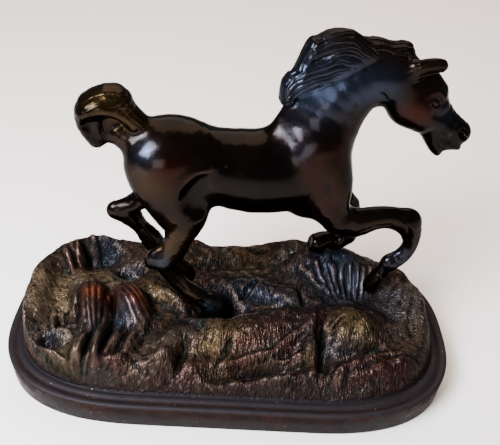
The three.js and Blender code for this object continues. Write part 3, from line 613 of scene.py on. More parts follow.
def mark_relief(points):
    height = np.zeros(len(points))
    # The head is turned a little to the near side
    off_middle = points[:, 1] + 3 * ease(points[:, 0], 60, 72)
    for side, half, rise, line in MARKS:
        line = np.array(line)
        low, high = line.min(axis=0) - 3 * half, line.max(axis=0) + 3 * half
        flat = points[:, [0, 2]]
        some = np.flatnonzero(((flat > low) & (flat < high)).all(axis=1))
        nearest = np.full(len(some), np.inf)
        for a, b in zip(line[:-1], line[1:]):
            t = np.clip((flat[some] - a) @ (b - a) / ((b - a) @ (b - a)), 0, 1)
            gap = np.linalg.norm(flat[some] - a - t[:, None] * (b - a), axis=1)
            nearest = np.minimum(nearest, gap)
        out = np.abs(off_middle[some]) if side == 0 else side * off_middle[some]
        height[some] += rise * np.exp(-((nearest / half) ** 2)) * ease(out, 1, 3.5)
    return height


# The plinth and its ground

def outline_stations():
    """Evenly spaced places on the plinth's outline, each as a direction and a shift along x."""
    straight = PLINTH_LENGTH / 2 - PLINTH_END
    angle = np.linspace(0, np.pi / 2, OUTLINE_SAMPLES + 1)
    curve = np.stack([np.cos(angle), np.sin(angle)], axis=1) ** (2 / END_SQUARENESS)
    curve = np.column_stack([curve, np.full(len(curve), straight)])
    side = straight * (1 - np.arange(1, OUTLINE_SAMPLES + 1) / OUTLINE_SAMPLES)
    dense = np.concatenate([curve, np.column_stack([0 * side, 0 * side + 1, side])])
    places = outline_points(dense, 0)
    travelled = np.concatenate([[0], np.cumsum(np.linalg.norm(np.diff(places, axis=0), axis=1))])
    wanted = (np.arange(OUTLINE_STEPS // 4) + 0.5) * 4 * travelled[-1] / OUTLINE_STEPS
    quarter = dense[np.searchsorted(travelled, wanted)]
    back = quarter[::-1]
    return np.concatenate([quarter, back * [-1, 1, -1], quarter * [-1, -1, -1], back * [1, -1, 1]])


def outline_points(stations, inset):
    x = stations[:, 0] * (PLINTH_END - inset) + stations[:, 2]
    y = stations[:, 1] * (PLINTH_WIDTH / 2 - inset)
    return np.stack([x, y], axis=1)


# The plinth's moulding, from its foot up: (inset, height)
MOULDING = [
    (0.4, 0), (0, 0.6), (-0.9, PLINTH_HEIGHT - 2.2), (-1, PLINTH_HEIGHT - 0.6),
    (-0.4, PLINTH_HEIGHT), (1.3, PLINTH_HEIGHT), (2.3, PLINTH_HEIGHT - 0.9),
    (3.6, PLINTH_HEIGHT + 0.3), (5.6, PLINTH_HEIGHT + 0.8), (GROUND_INSET, GROUND_FOOT),
]

# Lumps and hollows of the ground: (x, y, half length, half width, turn in degrees, height)
LUMPS = [
    (49, 33, 20, 13, 0, 11), (71, 24, 12, 10, -10, 6.5), (-24, 17, 15, 9, -20, 3),
    (-7, -3, 17, 10, -15, -6), (10, 11, 24, 6, -4, 4), (-33, 3, 20, 5, -32, 5),
    (-71, -8, 14, 9, -72, 8), (-50, -6, 14, 8.5, -54, 8), (-61, -4, 9, 3, -72, -4),
    (-66, -35, 14, 9, -80, 6), (-50, -31, 12, 5, -98, 4), (-29, -37, 13, 5, 78, 4),
    (-83, -14, 8, 6, 0, -5), (-80, -31, 7, 6, 0, -3), (-53, 20, 7, 5, 0, -6),
    (-73, 30, 11, 8, 0, -9), (-88, 30, 9, 7, 90, 5), (-101, 3, 28, 9, 84, 8.5),
    (-79, 44, 16, 8, -12, 7), (-72, 43, 9, 7, 0, -2), (-24, 46, 8, 6, 0, 2.5),
    (-10, 47, 9, 6, 0, -1), (29, 44, 12, 8, 0, 5.5), (-96, -16, 12, 8, 70, 4),
    (-3, 29, 34, 4, 6, -3), (-40, -42, 30, 6, 0, 2), (11, -17, 38, 11, 11, 8),
    (15, -41, 30, 5, 10, -5), (24, -45, 22, 4, 10, 1.5), (40, -26, 16, 5.5, 80, 4),
    (48, -24, 16, 4, 80, -3), (62, -13, 16, 13, 10, 8), (66, -37, 20, 6, 13, 3.5),
    (60, -29, 14, 4, 10, -4), (96, 14, 24, 10, 80, 5), (87, 30, 6, 6, 0, 1.5),
    (95, 21, 5, 5, 0, -3),
]


def lump_axes(x, y, lump):
    cx, cy, length, width, turn, _ = lump
    c, s = np.cos(np.radians(turn)), np.sin(np.radians(turn))
    return ((x - cx) * c + (y - cy) * s) / length, ((y - cy) * c - (x - cx) * s) / width


def ground_height(x, y, inset):
    at_tail = np.clip((-x - 60) / 35, 0, 1)
    width = BANK_WIDTH + (TAIL_BANK_WIDTH - BANK_WIDTH) * at_tail
    rise = np.clip((inset - GROUND_INSET) / width, 0, 1)
    roundness = BANK_ROUNDNESS + FRONT_SOFTNESS * ease(-y, 5, 30) * (1 - at_tail)
    bank = np.sin(rise * np.pi / 2) ** roundness
    height = GROUND_RISE + GROUND_SLOPE * (y / (PLINTH_WIDTH / 2))
    for lump in LUMPS:
        u, v = lump_axes(x, y, lump)
        height = height + lump[5] * np.exp(-((u * u + v * v) ** 1.5))
    rows = np.sin(x / 4.1 + 2 * np.sin(y / 9))
    columns = np.sin(y / 3.7 + 2 * np.sin(x / 11))
    return GROUND_FOOT + bank * (height + TUSSOCK_HEIGHT * rows * columns)


# Finer folds, stones and creases of the ground, as the lumps are given
FOLDS = [
    (-58.5, -6, 8, 1.7, 99, -5), (-70, 4, 9, 2, 30, 1.5), (-75, -12, 9, 2, 100, -3),
    (12, -35, 12, 2, 20, 2.2), (17, -38.6, 15, 1.5, 17, -1.6), (-1.5, -33, 7, 1.8, 62, -2),
    (30, -24, 9, 2, 36, 1.5), (-6, -5, 10, 7.5, -15, -4), (-16, -9, 8, 4, -40, -2),
    (2, 3, 7, 2.4, -50, 2), (22, -39, 18, 2, 11, -2.5), (44, -20, 9, 2.4, 84, -3),
    (68, -27, 7, 2.4, 30, -2.5), (47, -35, 9, 2.2, 80, -2), (-69.5, -39, 8, 2.6, 73, 3.5),
    (-60.5, -33, 12, 2.6, 86, 4), (-65.3, -37, 9, 1.6, 80, -3), (-55, -30, 10, 2.4, 81, 3),
    (-57.9, -31, 9, 1.3, 84, -2.5), (-44.5, -29, 10, 2.8, 70, 2.5), (-50, -31, 9, 1.6, 75, -2.5),
    (-21.5, -36, 9, 2.6, 76, -4), (-31.3, -40, 5, 4, 0, 2.5), (-38, -42, 4, 3, 20, 2),
    (-51, -43, 6, 3, 0, 2), (-83.6, -13, 3, 2.4, 0, 3.5), (-78.6, -12.5, 2.6, 2.4, 0, 3.5),
    (-81, -12.6, 1.2, 3.4, 0, -2), (-86.4, -18, 6.5, 1.7, -80, 3.5), (-79.8, -26.5, 5.5, 3, -30, 3),
    (-86, -30, 4.5, 3, -20, -3), (-81, -40, 11, 1.8, -34, 2.5), (-87.3, 22, 5.5, 2, -60, 4),
    (-83, 30.5, 5.5, 2, -58, 4), (-85.4, 26, 5, 1.4, -58, -2.5), (-80, 33, 4, 1.6, -58, -3),
    (-76.8, 37, 4.5, 2.2, -60, 3), (-69, 35, 7, 4, 0, -3), (-56.7, 19, 6, 3.2, -10, -3.5),
    (-38, 2, 14, 3.6, -28, 2), (-22, -12, 7, 3, -60, 2), (32.8, -34.5, 3, 3, 0, 3),
    (28, -31, 6, 2, 20, -2), (39.6, -31, 13, 3.2, 90, 1.5), (45, -27, 15, 2, 82, -3),
    (53.5, -15.2, 3.4, 1, 38, -3), (60, -31.5, 9, 2.2, 18, -3), (52, -44, 4.5, 2.6, 62, 3),
    (64, -36, 9, 2.6, 26, 2.5), (76, -31, 6, 2, 10, -2), (84, -34, 6, 3.5, 10, 2),
    (2.3, 10.7, 6, 4, 10, 1.5), (15.5, 17.5, 6, 4, 30, 2), (9, 8, 7, 1.8, 50, -2),
    (30.3, 5.2, 6, 4.6, 0, 2.5), (36.4, 5, 1.6, 5, 10, -2.5), (42.4, 3.5, 4.6, 4, 0, 1.5),
    (20, -3, 9, 2, 20, -2), (5, -14, 10, 1.6, 10, -2), (1.4, 38.7, 8, 5, 0, 1.5),
    (12, 41, 6, 2, -20, -1.5), (22.7, 34.4, 7, 4, 10, 1.5), (85, 8, 8, 3, 70, 1.5),
    (91, -8, 9, 2, 85, -1.5),
]

# Ribbed shell-like leaves: the folds' numbers, then how many ribs lie across and their depth
SHELLS = [
    (-67.6, -10, 17, 9.5, 102, 3.8, 6, 0.7), (-50, -9, 15, 8.5, -52, 3.8, 6, 0.65),
    (-84.5, 28, 9, 9, -58, 0, 3, 0.8), (-64, -37, 12, 10, 80, 0, 5, 0.6),
]

# Blades of the grass tuft by the raised foreleg: x at the top, x and y at the foot, half width
BLADES = [
    (44, 50.5, 14, 1.5), (48.6, 53, 11.5, 1.7), (53.2, 56.2, 9, 1.8), (57.6, 58.8, 7.5, 1.5),
    (61, 61.4, 8.5, 1.7), (65.2, 64.4, 7, 1.8), (69.4, 67.8, 10, 1.5), (73, 70.6, 13, 1.4),
]
BLADE_TOP = 24


def bilinear(grid, i, j, s, t):
    low = grid[i, j] * (1 - s) + grid[i + 1, j] * s
    high = grid[i, j + 1] * (1 - s) + grid[i + 1, j + 1] * s
    return low * (1 - t) + high * t


def value_noise(x, y, size, seed):
    """Smooth bumps from -1 to 1, about as far apart as the given size."""
    grid = np.random.default_rng(seed).uniform(-1, 1, (128, 128))
    u, v = x / size + 64, y / size + 64
    i, j = np.floor(u).astype(int), np.floor(v).astype(int)
    return bilinear(grid, i % 127, j % 127, ease(u - i, 0, 1), ease(v - j, 0, 1))


def inset_at(x, y):
    """Roughly how far a place on the ground lies inside the plinth's outline."""
    straight = PLINTH_LENGTH / 2 - PLINTH_END
    over = np.maximum(np.abs(x) - straight, 0) / PLINTH_END
    across = np.abs(y / (PLINTH_WIDTH / 2))
    share = (over**END_SQUARENESS + across**END_SQUARENESS) ** (1 / END_SQUARENESS)
    return (1 - share) * PLINTH_WIDTH / 2


def fold_height(x, y):
    """Height of the finer folds over the lumps, and how smooth, without fur, the ground is."""
    height = np.zeros_like(x)
    smooth = np.zeros_like(x)
    for fold in FOLDS:
        u, v = lump_axes(x, y, fold)
        height += fold[5] * np.exp(-((u * u + v * v) ** 1.7))
    for *fold, ribs, depth in SHELLS:
        u, v = lump_axes(x, y, fold)
        inside = np.exp(-((u * u + v * v) ** 2.5))
        taper = v / (1 - 0.35 * np.clip(-u, -1, 1))
        height += inside * (fold[5] + depth * (np.abs(np.cos(np.pi * ribs * taper / 2)) - 0.5))
        smooth = np.maximum(smooth, inside)
    for top, foot, end, half in BLADES:
        t = np.clip((BLADE_TOP - y) / (BLADE_TOP - end), 0, 1)
        middle = top + (foot - top) * t**1.4
        off = (x - middle) / (half * (1.25 - 0.55 * t))
        tip = BLADE_TOP - 1 + 2 * np.sin(1.9 * top)
        inside = ease(y, end - 1, end + 3) * (1 - ease(y, tip - 1.5, tip + 2.5))
        crest = np.maximum(1 - (off - 0.25 * (1 - off**2)) ** 2, 0) ** 0.6
        height += inside * (1.2 * crest - 0.6 * np.exp(-((off - 1.15) * 5) ** 2))
        smooth = np.maximum(smooth, inside * (np.abs(off) < 1.3))
    height += 0.55 * value_noise(x, y, 5.5, 3) + 0.3 * value_noise(x, y, 2.6, 4)
    return height, smooth


# Fur-like strokes chased into the ground, drawn on a map and then looked up
MAP_STEP = 0.2
MAP_HALF = (106, 56)
STROKES = 30000
STROKE_WIDTH = (0.38, 0.55)
STROKE_LENGTH = (1.0, 1.9)
STROKE_LEAN = 0.32
STROKE_BOW = 0.05
STROKE_RISE = (0.5, 1)
STROKE_HEIGHT = 0.34
STEEP = 0.35


def stroke_map():
    """Height of the strokes, from 0 to 1, which run down the slopes and wander where it is level."""
    counts = [int(2 * half / MAP_STEP) + 1 for half in MAP_HALF]
    x, y = np.meshgrid(*(np.linspace(-h, h, n) for h, n in zip(MAP_HALF, counts)), indexing="ij")
    inset = inset_at(x, y)
    height = ground_height(x, y, np.maximum(inset, GROUND_INSET)) + fold_height(x, y)[0]
    across, down = np.gradient(height, MAP_STEP)
    relief = np.zeros_like(x)
    random = np.random.default_rng(11)
    for _ in range(STROKES):
        cx, cy = (random.uniform(-h, h) for h in MAP_HALF)
        i, j = (int((c + h) / MAP_STEP) for c, h in zip((cx, cy), MAP_HALF))
        width, length = random.uniform(*STROKE_WIDTH), random.uniform(*STROKE_LENGTH)
        lean, bow = random.normal(0, STROKE_LEAN), random.normal(0, STROKE_BOW)
        rise = random.uniform(*STROKE_RISE)
        if inset[i, j] < GROUND_INSET + 0.5:
            continue
        slope = np.array([across[i, j], down[i, j]])
        steep = np.linalg.norm(slope)
        wander = 1.5 * value_noise(np.array([cx]), np.array([cy]), 9, 5)[0]
        turn = np.arctan2(slope[1], slope[0]) + lean
        turn += (1 - min(steep / STEEP, 1)) * wander
        length *= max(1 / np.hypot(1, steep), 0.45)
        reach = int((length + 0.6) / MAP_STEP) + 1
        part = (slice(max(i - reach, 0), i + reach + 1), slice(max(j - reach, 0), j + reach + 1))
        px, py = x[part] - cx, y[part] - cy
        u = px * np.cos(turn) + py * np.sin(turn)
        v = py * np.cos(turn) - px * np.sin(turn) + bow * u * u
        ridge = rise * np.maximum(1 - (v / width) ** 2, 0) * np.maximum(1 - (u / length) ** 2, 0)
        relief[part] = np.maximum(relief[part], ridge)
    return relief


def look_up(values, x, y):
    u, v = ((c + h) / MAP_STEP for c, h in zip((x, y), MAP_HALF))
    i = np.clip(np.floor(u).astype(int), 0, values.shape[0] - 2)
    j = np.clip(np.floor(v).astype(int), 0, values.shape[1] - 2)
    return bilinear(values, i, j, u - i, v - j)


def base_surface():
    """Rings of points up the plinth and over the ground, and how much of a point is ground."""
    stations = outline_stations()
    level = np.ones(OUTLINE_STEPS)
    rows = [np.column_stack([outline_points(stations, inset), level * z]) for inset, z in MOULDING]
    ground = [0.0] * len(MOULDING)
    for i in range(1, GROUND_RINGS + 1):
        share = (i / GROUND_RINGS) ** RING_CROWDING
        x, y = outline_points(stations, GROUND_INSET).T
        px = x * (1 - share) + share * x * (1 - PLINTH_END / PLINTH_LENGTH)
        py = y * (1 - share)
        depth = GROUND_INSET + share * (PLINTH_WIDTH / 2 - GROUND_INSET)
        up = ease(depth, GROUND_INSET, GROUND_INSET + FOLD_MARGIN)
        height = ground_height(px, py, depth) + up * fold_height(px, py)[0]
        rows.append(np.column_stack([px, py, height]))
        ground.append(ease(depth, GROUND_INSET, GROUND_INSET + STROKE_MARGIN))
    here = np.arange(len(rows) * OUTLINE_STEPS).reshape(len(rows), -1)
    after = np.roll(here, -1, axis=1)
    quads = np.stack([here[:-1], after[:-1], after[1:], here[1:]], axis=-1).reshape(-1, 4)
    return np.concatenate(rows), quads, np.repeat(ground, OUTLINE_STEPS)


# Meshes

def make_mesh(name, points, faces):
    mesh = bpy.data.meshes.new(name)
    size = faces.shape[1]
    mesh.vertices.add(len(points))
    mesh.vertices.foreach_set("co", (points / 1000).astype(np.float32).ravel())
    mesh.loops.add(faces.size)
    mesh.loops.foreach_set("vertex_index", faces.astype(np.int32).ravel())
    mesh.polygons.add(len(faces))
    mesh.polygons.foreach_set("loop_start", np.arange(0, faces.size, size, dtype=np.int32))
    mesh.update(calc_edges=True)
    mesh.validate()
    mesh.shade_smooth()
    piece = bpy.data.objects.new(name, mesh)
    bpy.context.scene.collection.objects.link(piece)
    return piece


def turned(points):
    c, s = np.cos(HORSE_TURN), np.sin(HORSE_TURN)
    x, y = points[:, 0] * c - points[:, 1] * s, points[:, 0] * s + points[:, 1] * c
    return np.stack([x, y + HORSE_SHIFT, points[:, 2]], axis=1)


def fewer_faces(piece, target):
    """The same mesh with its flattest edges collapsed."""
    triangles = sum(len(p.vertices) - 2 for p in piece.data.polygons)
    modifier = piece.modifiers.new("fewer", "DECIMATE")
    modifier.ratio = min(1.0, target / triangles)
    modifier.use_collapse_triangulate = True
    graph = bpy.context.evaluated_depsgraph_get()
    reduced = bpy.data.meshes.new_from_object(piece.evaluated_get(graph))
    piece.modifiers.clear()
    piece.data = reduced
    piece.data.shade_smooth()


def neighbour_mean(values, edges):
    total = np.zeros_like(values)
    count = np.bincount(edges.ravel(), minlength=len(values))
    for axis in range(values.shape[1]):
        total[:, axis] += np.bincount(edges[:, 0], values[edges[:, 1], axis], len(values))
        total[:, axis] += np.bincount(edges[:, 1], values[edges[:, 0], axis], len(values))
    return total / np.maximum(count, 1)[:, None]


def read(items, name, size, kind=np.float32):
    values = np.zeros(len(items) * size, kind)
    items.foreach_get(name, values)
    return values.reshape(-1, size)


def shape_of(piece):
    """A piece's points in millimetres, its normals and its edges."""
    mesh = piece.data
    points = read(mesh.vertices, "co", 3).astype(float) * 1000
    return points, read(mesh.vertices, "normal", 3), read(mesh.edges, "vertices", 2, np.int32)


def proudness(shape, rounds, full):
    """How far each point stands out more, above zero, or less, below zero, than those around it."""
    points, normal, edges = shape
    smooth = points
    for _ in range(rounds):
        smooth = neighbour_mean(smooth, edges)
    out = ((points - smooth) * normal).sum(axis=1)[:, None]
    level = out
    for _ in range(4 * rounds):
        level = neighbour_mean(level, edges)
    return neighbour_mean(out - level, edges)[:, 0] / full


def patches(points, blobs):
    """Soft patches, each a place in the points' first two or three axes, a radius and a strength."""
    total = np.zeros(len(points))
    for *place, radius, strength in blobs:
        square = ((points[:, :len(place)] - place) ** 2).sum(axis=1)
        total += strength * np.exp(-square / radius**2)
    return np.clip(total, 0, 1)


def arris(points):
    """The plinth's upper edge, where the patina is rubbed and a highlight is painted."""
    on_rim = np.abs(inset_at(points[:, 0], points[:, 1]) - 0.2) < 1.6
    return on_rim * np.exp(-(((points[:, 2] - PLINTH_HEIGHT + 0.2) / 0.9) ** 2))


# Relief seen finely and broadly: the rounds of smoothing, and the height that counts as full
FINE = (4, 0.10)
BROAD = (40, 0.5)

# The height that counts as one on its mask
MASK_HEIGHT = 100


def add_masks(piece, masks):
    """Puts values from -1 to 1 on the points, which the patina reads by name."""
    for name, values in masks.items():
        layer = piece.data.attributes.new(name, "FLOAT", "POINT")
        layer.data.foreach_set("value", np.clip(values, -1, 1).astype(np.float32))


def turned_blobs(blobs):
    places = turned(np.array([blob[:3] for blob in blobs], float))
    return [(*place, *blob[3:]) for place, blob in zip(places, blobs)]


def make_horse():
    points, quads = horse_surface()
    triangles = halves(quads)
    points = onto_field(points, triangles)
    fine = (points[:, 0] > 64) & (points[:, 2] > 100)
    fine |= hair_relief(points, horse_distance(points))[1] > 0
    points, triangles = finer(points, triangles, fine)
    points = onto_field(points, triangles)
    normal = vertex_normals(points, triangles)
    depth, share = hair_relief(points, horse_distance(points))
    points = points + normal * (mark_relief(points) * (1 - share) - depth)[:, None]
    piece = make_mesh("horse_relief", turned(points), triangles)
    fewer_faces(piece, HORSE_FACES)
    shape = shape_of(piece)
    hues = {name: patches(shape[0], turned_blobs(blobs)) for name, blobs in HORSE_HUES.items()}
    add_masks(piece, {"fine": proudness(shape, *FINE), **hues})
    return piece


def make_base():
    points, quads, ground = base_surface()
    foot = np.arange(OUTLINE_STEPS)
    fan = np.stack([np.full(OUTLINE_STEPS, len(points)), np.roll(foot, -1), foot], axis=1)
    points = np.concatenate([points, [[0, 0, 0]]])
    ground = np.append(ground, 0)
    triangles = np.concatenate([halves(quads), fan])
    # The two halves of the last ring lie on the same line, so their points are joined
    keys = np.round(points / SAME_PLACE).astype(np.int64)
    _, first, which = np.unique(keys, axis=0, return_index=True, return_inverse=True)
    triangles = which.ravel()[triangles]
    keep = (triangles != np.roll(triangles, -1, axis=1)).all(axis=1)
    points, ground, triangles = points[first], ground[first], triangles[keep]

    x, y = points[:, 0], points[:, 1]
    furry = ground * (1 - fold_height(x, y)[1])
    stroke = look_up(stroke_map(), x, y) - 0.5
    normal = vertex_normals(points, triangles)
    points = points + normal * (STROKE_HEIGHT * furry * stroke)[:, None]
    piece = make_mesh("base_relief", points, triangles)
    fewer_faces(piece, BASE_FACES)
    shape = shape_of(piece)
    points, normal, _ = shape
    x, y, z = points.T
    lengthways = np.abs(normal[:, 0]) - np.abs(normal[:, 1])
    add_masks(piece, {
        "fine": proudness(shape, *FINE),
        "broad": proudness(shape, *BROAD),
        **{name: patches(points, blobs) for name, blobs in GROUND_HUES.items()},
        "height": z / MASK_HEIGHT,
        "arris": arris(points),
        "ends": ease(lengthways + np.abs(x) / 60, 0.9, 1.7),
        "fur": (z > PLINTH_HEIGHT + 1.5) * (1 - fold_height(x, y)[1]),
    })
    return piece


# Patina

# Where the colour is redder, bluer, more ochre, darker or paler: the place, radius and strength,
# in the horse's own axes and, for the ground, on its plan. The red patches are patina. On the horse
# the bluish patches are painted highlights and sheen, the ochre ones painted sheen over ochre patina
# and the darker ones painted shade; on the ground the ochre and pale patches are patina with painted
# light
HORSE_HUES = {
    "red": [
        (79, -12, 131, 9, 0.8), (31, -16, 112, 9, 0.5), (33, -16, 96, 9, 0.5),
        (36, -16, 84, 8, 0.4), (-32, -16, 112, 8, 0.8), (45, -12, 115, 6, 0.5),
    ],
    # Painted highlights and sheen: bluish glints on the rump, hock, shoulder, fore cannon and hind
    # hoof, and a bluish sheen over the neck, face and mane
    "blue_and_sheen": [
        (36, -11, 138, 10, 0.7), (48, -10, 144, 10, 0.9), (60, -9, 142, 9, 0.7),
        (93, -7, 130, 7, 0.6), (30, -3, 150, 15, 0.7), (22, -3, 139, 8, 0.6),
        (-13, -18, 31, 5, 0.9), (84, -16, 50, 8, 0.5), (-44, -14, 119, 6, 0.8),
        (-38, -16, 61, 4, 0.7), (18.5, -13, 127, 7, 0.7), (25, -15, 116, 6, 0.35),
    ],
    # Ochre patina with a painted gold-brown sheen: on the hind cannon, hoof, gaskin and hock, the
    # rump's edge, the tail's top and the ear
    "ochre_and_sheen": [
        (-24, -16, 40, 7, 0.5), (-10, -17, 30, 5, 0.5), (80, -11, 152, 8, 0.35),
        (-42, -10, 107, 9, 0.35), (-34, -14, 78, 9, 0.5), (-57, -6, 139, 11, 0.8),
        (-48, -5, 128, 8, 0.6), (-38, -14, 68, 7, 0.7), (-24, -16, 74, 7, 0.5),
    ],
    # Painted shade: on the barrel's near side and in the flank hollow, in the nostril, eye and mouth,
    # under the tail, chin and belly, and over the far legs and the far hoof's sole
    "painted_shade": [
        (6, -17, 96, 20, 0.9), (22, -17, 90, 14, 0.8), (-21, -17, 102, 4, 0.9),
        (-23, -17, 96.5, 5, 1), (-20.5, -17, 91, 4, 0.9), (105, -9, 117, 3, 1),
        (86.5, -9, 134.3, 2.4, 0.9), (-64, -9, 125, 7, 1), (-57, -9, 126, 5, 1),
        (-40, 14, 75, 26, 0.8), (55, 14, 60, 20, 0.6), (100, -9, 114, 7, 0.6),
        (93, -8, 113, 7, 0.6), (43, 11, 46, 5, 1), (0, 0, 78, 20, 0.8),
    ],
}

GROUND_HUES = {
    "red": [
        (-68, -8, 9, 1), (-60, -2, 7, 0.8), (-46, -10, 8, 1), (-87, 24, 7, 0.6), (-20, -40, 9, 0.5),
        (9, -34, 11, 0.5), (25, -27, 12, 0.45), (60, -38, 12, 0.4), (78, -36, 10, 0.4),
        (45, -10, 8, 0.5), (-50, -43, 14, 0.35),
    ],
    "blue_and_sheen": [
        (-57, 19, 7, 1), (-70, 34, 8, 1), (-52, -18, 7, 0.8), (-62, -30, 8, 0.7),
        (-85, -29, 6, 0.8), (60, 14, 12, 1), (52, 26, 12, 0.8), (10, 8, 14, 0.7), (36, 3, 12, 0.5),
        (-15, -14, 8, 0.7), (46, -26, 7, 0.7), (86, 5, 14, 0.6), (60, -29, 7, 0.6),
    ],
    # Ochre patina, painted lighter on the ridge and pillow tops where the light falls
    "ochre_and_sheen": [
        (-38, 2, 12, 1), (-70, 20, 14, 0.6), (-73, -38, 7, 0.9), (-87, -10, 9, 0.9),
        (-5, -28, 13, 0.9), (55, -17, 9, 0.8), (62, -22, 9, 0.7), (5, 38, 18, 0.3),
        (-92, 0, 10, 0.6), (40, -35, 6, 0.7),
    ],
    # Pale patina with painted highlights, at the two ends, along the front bank and on a few ridges
    "pale_and_sheen": [
        (-91, -14, 9, 0.7), (-80, -33, 8, 0.6), (-96, 2, 10, 0.5), (-78, 8, 8, 0.5),
        (-36, -6, 7, 0.15), (-60, 8, 7, 0.4), (-24, -33, 9, 0.35), (20, -36, 8, 0.4),
        (-40, -36, 9, 0.35), (46, -34, 4, 0.5), (92, -8, 12, 0.3), (96, 14, 10, 0.25),
        (80, 12, 10, 0.2),
    ],
}


class Patina:
    """Nodes for a bronze, made one on another."""

    def __init__(self, name):
        self.material = bpy.data.materials.new(name)
        self.material.use_nodes = True
        self.nodes = self.material.node_tree.nodes
        self.shader = self.nodes["Principled BSDF"]
        self.place = self.nodes.new("ShaderNodeTexCoord").outputs["Object"]

    def fill(self, node, values):
        """Gives a node's sockets their numbers and colours, or links them to other nodes."""
        for name, value in values.items():
            if isinstance(value, bpy.types.NodeSocket):
                self.material.node_tree.links.new(value, node.inputs[name])
            else:
                node.inputs[name].default_value = (*value, 1) if isinstance(value, tuple) else value
        return node

    def noise(self, size, detail, rough=0.55, shift=0.0, place=None):
        """Noise with bumps of about the given size in millimetres."""
        node = self.nodes.new("ShaderNodeTexNoise")
        node.noise_dimensions = "4D"
        values = {"W": shift, "Scale": 1000 / size, "Detail": detail, "Roughness": rough}
        return self.fill(node, {"Vector": place or self.place, **values}).outputs["Fac"]

    def streaks(self, size, shift):
        """Noise drawn out into short streaks; size is in millimetres along each axis."""
        stretch = self.nodes.new("ShaderNodeVectorMath")
        stretch.operation = "MULTIPLY"
        self.fill(stretch, {0: self.place, 1: [1000 / length for length in size]})
        return self.noise(1000, 1.5, 0.5, shift, stretch.outputs["Vector"])

    def mask(self, name):
        node = self.nodes.new("ShaderNodeAttribute")
        node.attribute_name = name
        return node.outputs["Fac"]

    def math(self, operation, a, b):
        node = self.nodes.new("ShaderNodeMath")
        node.operation = operation
        return self.fill(node, {0: a, 1: b}).outputs["Value"]

    def between(self, value, low, high, to_low=0.0, to_high=1.0):
        node = self.nodes.new("ShaderNodeMapRange")
        node.interpolation_type = "SMOOTHSTEP"
        numbers = {"From Min": low, "From Max": high, "To Min": to_low, "To Max": to_high}
        return self.fill(node, {"Value": value, **numbers}).outputs["Result"]

    def above(self, level, low, high, to_low=0.0, to_high=1.0):
        """From one value to another over a range of heights in millimetres above a level."""
        low, high = ((level + rise) / MASK_HEIGHT for rise in (low, high))
        return self.between(self.mask("height"), low, high, to_low, to_high)

    def scaled(self, share, value, low, high, least=0.0, most=1.0):
        """A share, times from least to most as another value goes from low to high."""
        return self.math("MULTIPLY", share, self.between(value, low, high, least, most))

    def mix(self, share, a, b):
        node = self.nodes.new("ShaderNodeMix")
        node.data_type = "RGBA"
        return self.fill(node, {"Factor": share, 6: a, 7: b}).outputs[2]

    def layers(self, color, *coats):
        """A colour with others over it, each given with its share."""
        for share, over in coats:
            color = self.mix(share, color, over)
        return color

    def bump(self, height, distance):
        node = self.nodes.new("ShaderNodeBump")
        return self.fill(node, {"Height": height, "Distance": distance / 1000}).outputs["Normal"]


def horse_bronze():
    p = Patina("horse_patina")
    broad, fine, small = p.noise(22, 3), p.noise(5, 5, 0.6, 2.0), p.noise(1.1, 3, 0.6, 4.0)
    relief = p.mask("fine")
    # The horse's bluish patches are painted highlights and sheen
    blue_and_sheen = p.scaled(p.mask("blue_and_sheen"), broad, 0.35, 0.65, 0.75)
    worn = p.scaled(p.between(relief, 0.4, 1), fine, 0.35, 0.6, 0.2)
    color = p.layers(
        p.mix(p.between(broad, 0.38, 0.66), (0.0034, 0.0022, 0.0014), (0.0090, 0.0050, 0.0024)),
        (p.scaled(p.mask("red"), fine, 0.3, 0.6, 0.5, 0.9), (0.021, 0.0034, 0.0014)),
        # Ochre patina with a painted gold-brown sheen
        (p.scaled(p.mask("ochre_and_sheen"), fine, 0.3, 0.65, 0.2, 0.8), (0.036, 0.020, 0.0060)),
        # Painted bluish highlights and sheen
        (blue_and_sheen, (0.015, 0.020, 0.034)),
        (p.scaled(worn, blue_and_sheen, 0.2, 0.9, 1, 0.3), (0.020, 0.0115, 0.0065)),
        # Darker in the fine recesses: dark patina with painted shade
        (p.scaled(p.between(relief, -0.15, -0.9), small, 0.35, 0.6, 0.4), (0.003, 0.003, 0.0025)),
        # Painted shade
        (p.scaled(p.mask("painted_shade"), fine, 0.3, 0.6, 0.7), (0.0022, 0.0017, 0.0015)),
    )
    rough = p.math("ADD", p.between(fine, 0.3, 0.7, 0.16, 0.22), p.between(relief, 0, -1.0, 0, 0.2))
    p.fill(p.shader, {
        "Base Color": color,
        "Metallic": 0.9,
        "Roughness": rough,
        "Specular IOR Level": 0.25,
        "Specular Tint": (0.28, 0.22, 0.19),
        "Coat Weight": 0.15,
        "Coat Roughness": 0.12,
        "Coat IOR": 1.35,
        "Normal": p.bump(p.math("ADD", fine, p.math("MULTIPLY", small, 0.35)), 0.2),
    })
    return p.material


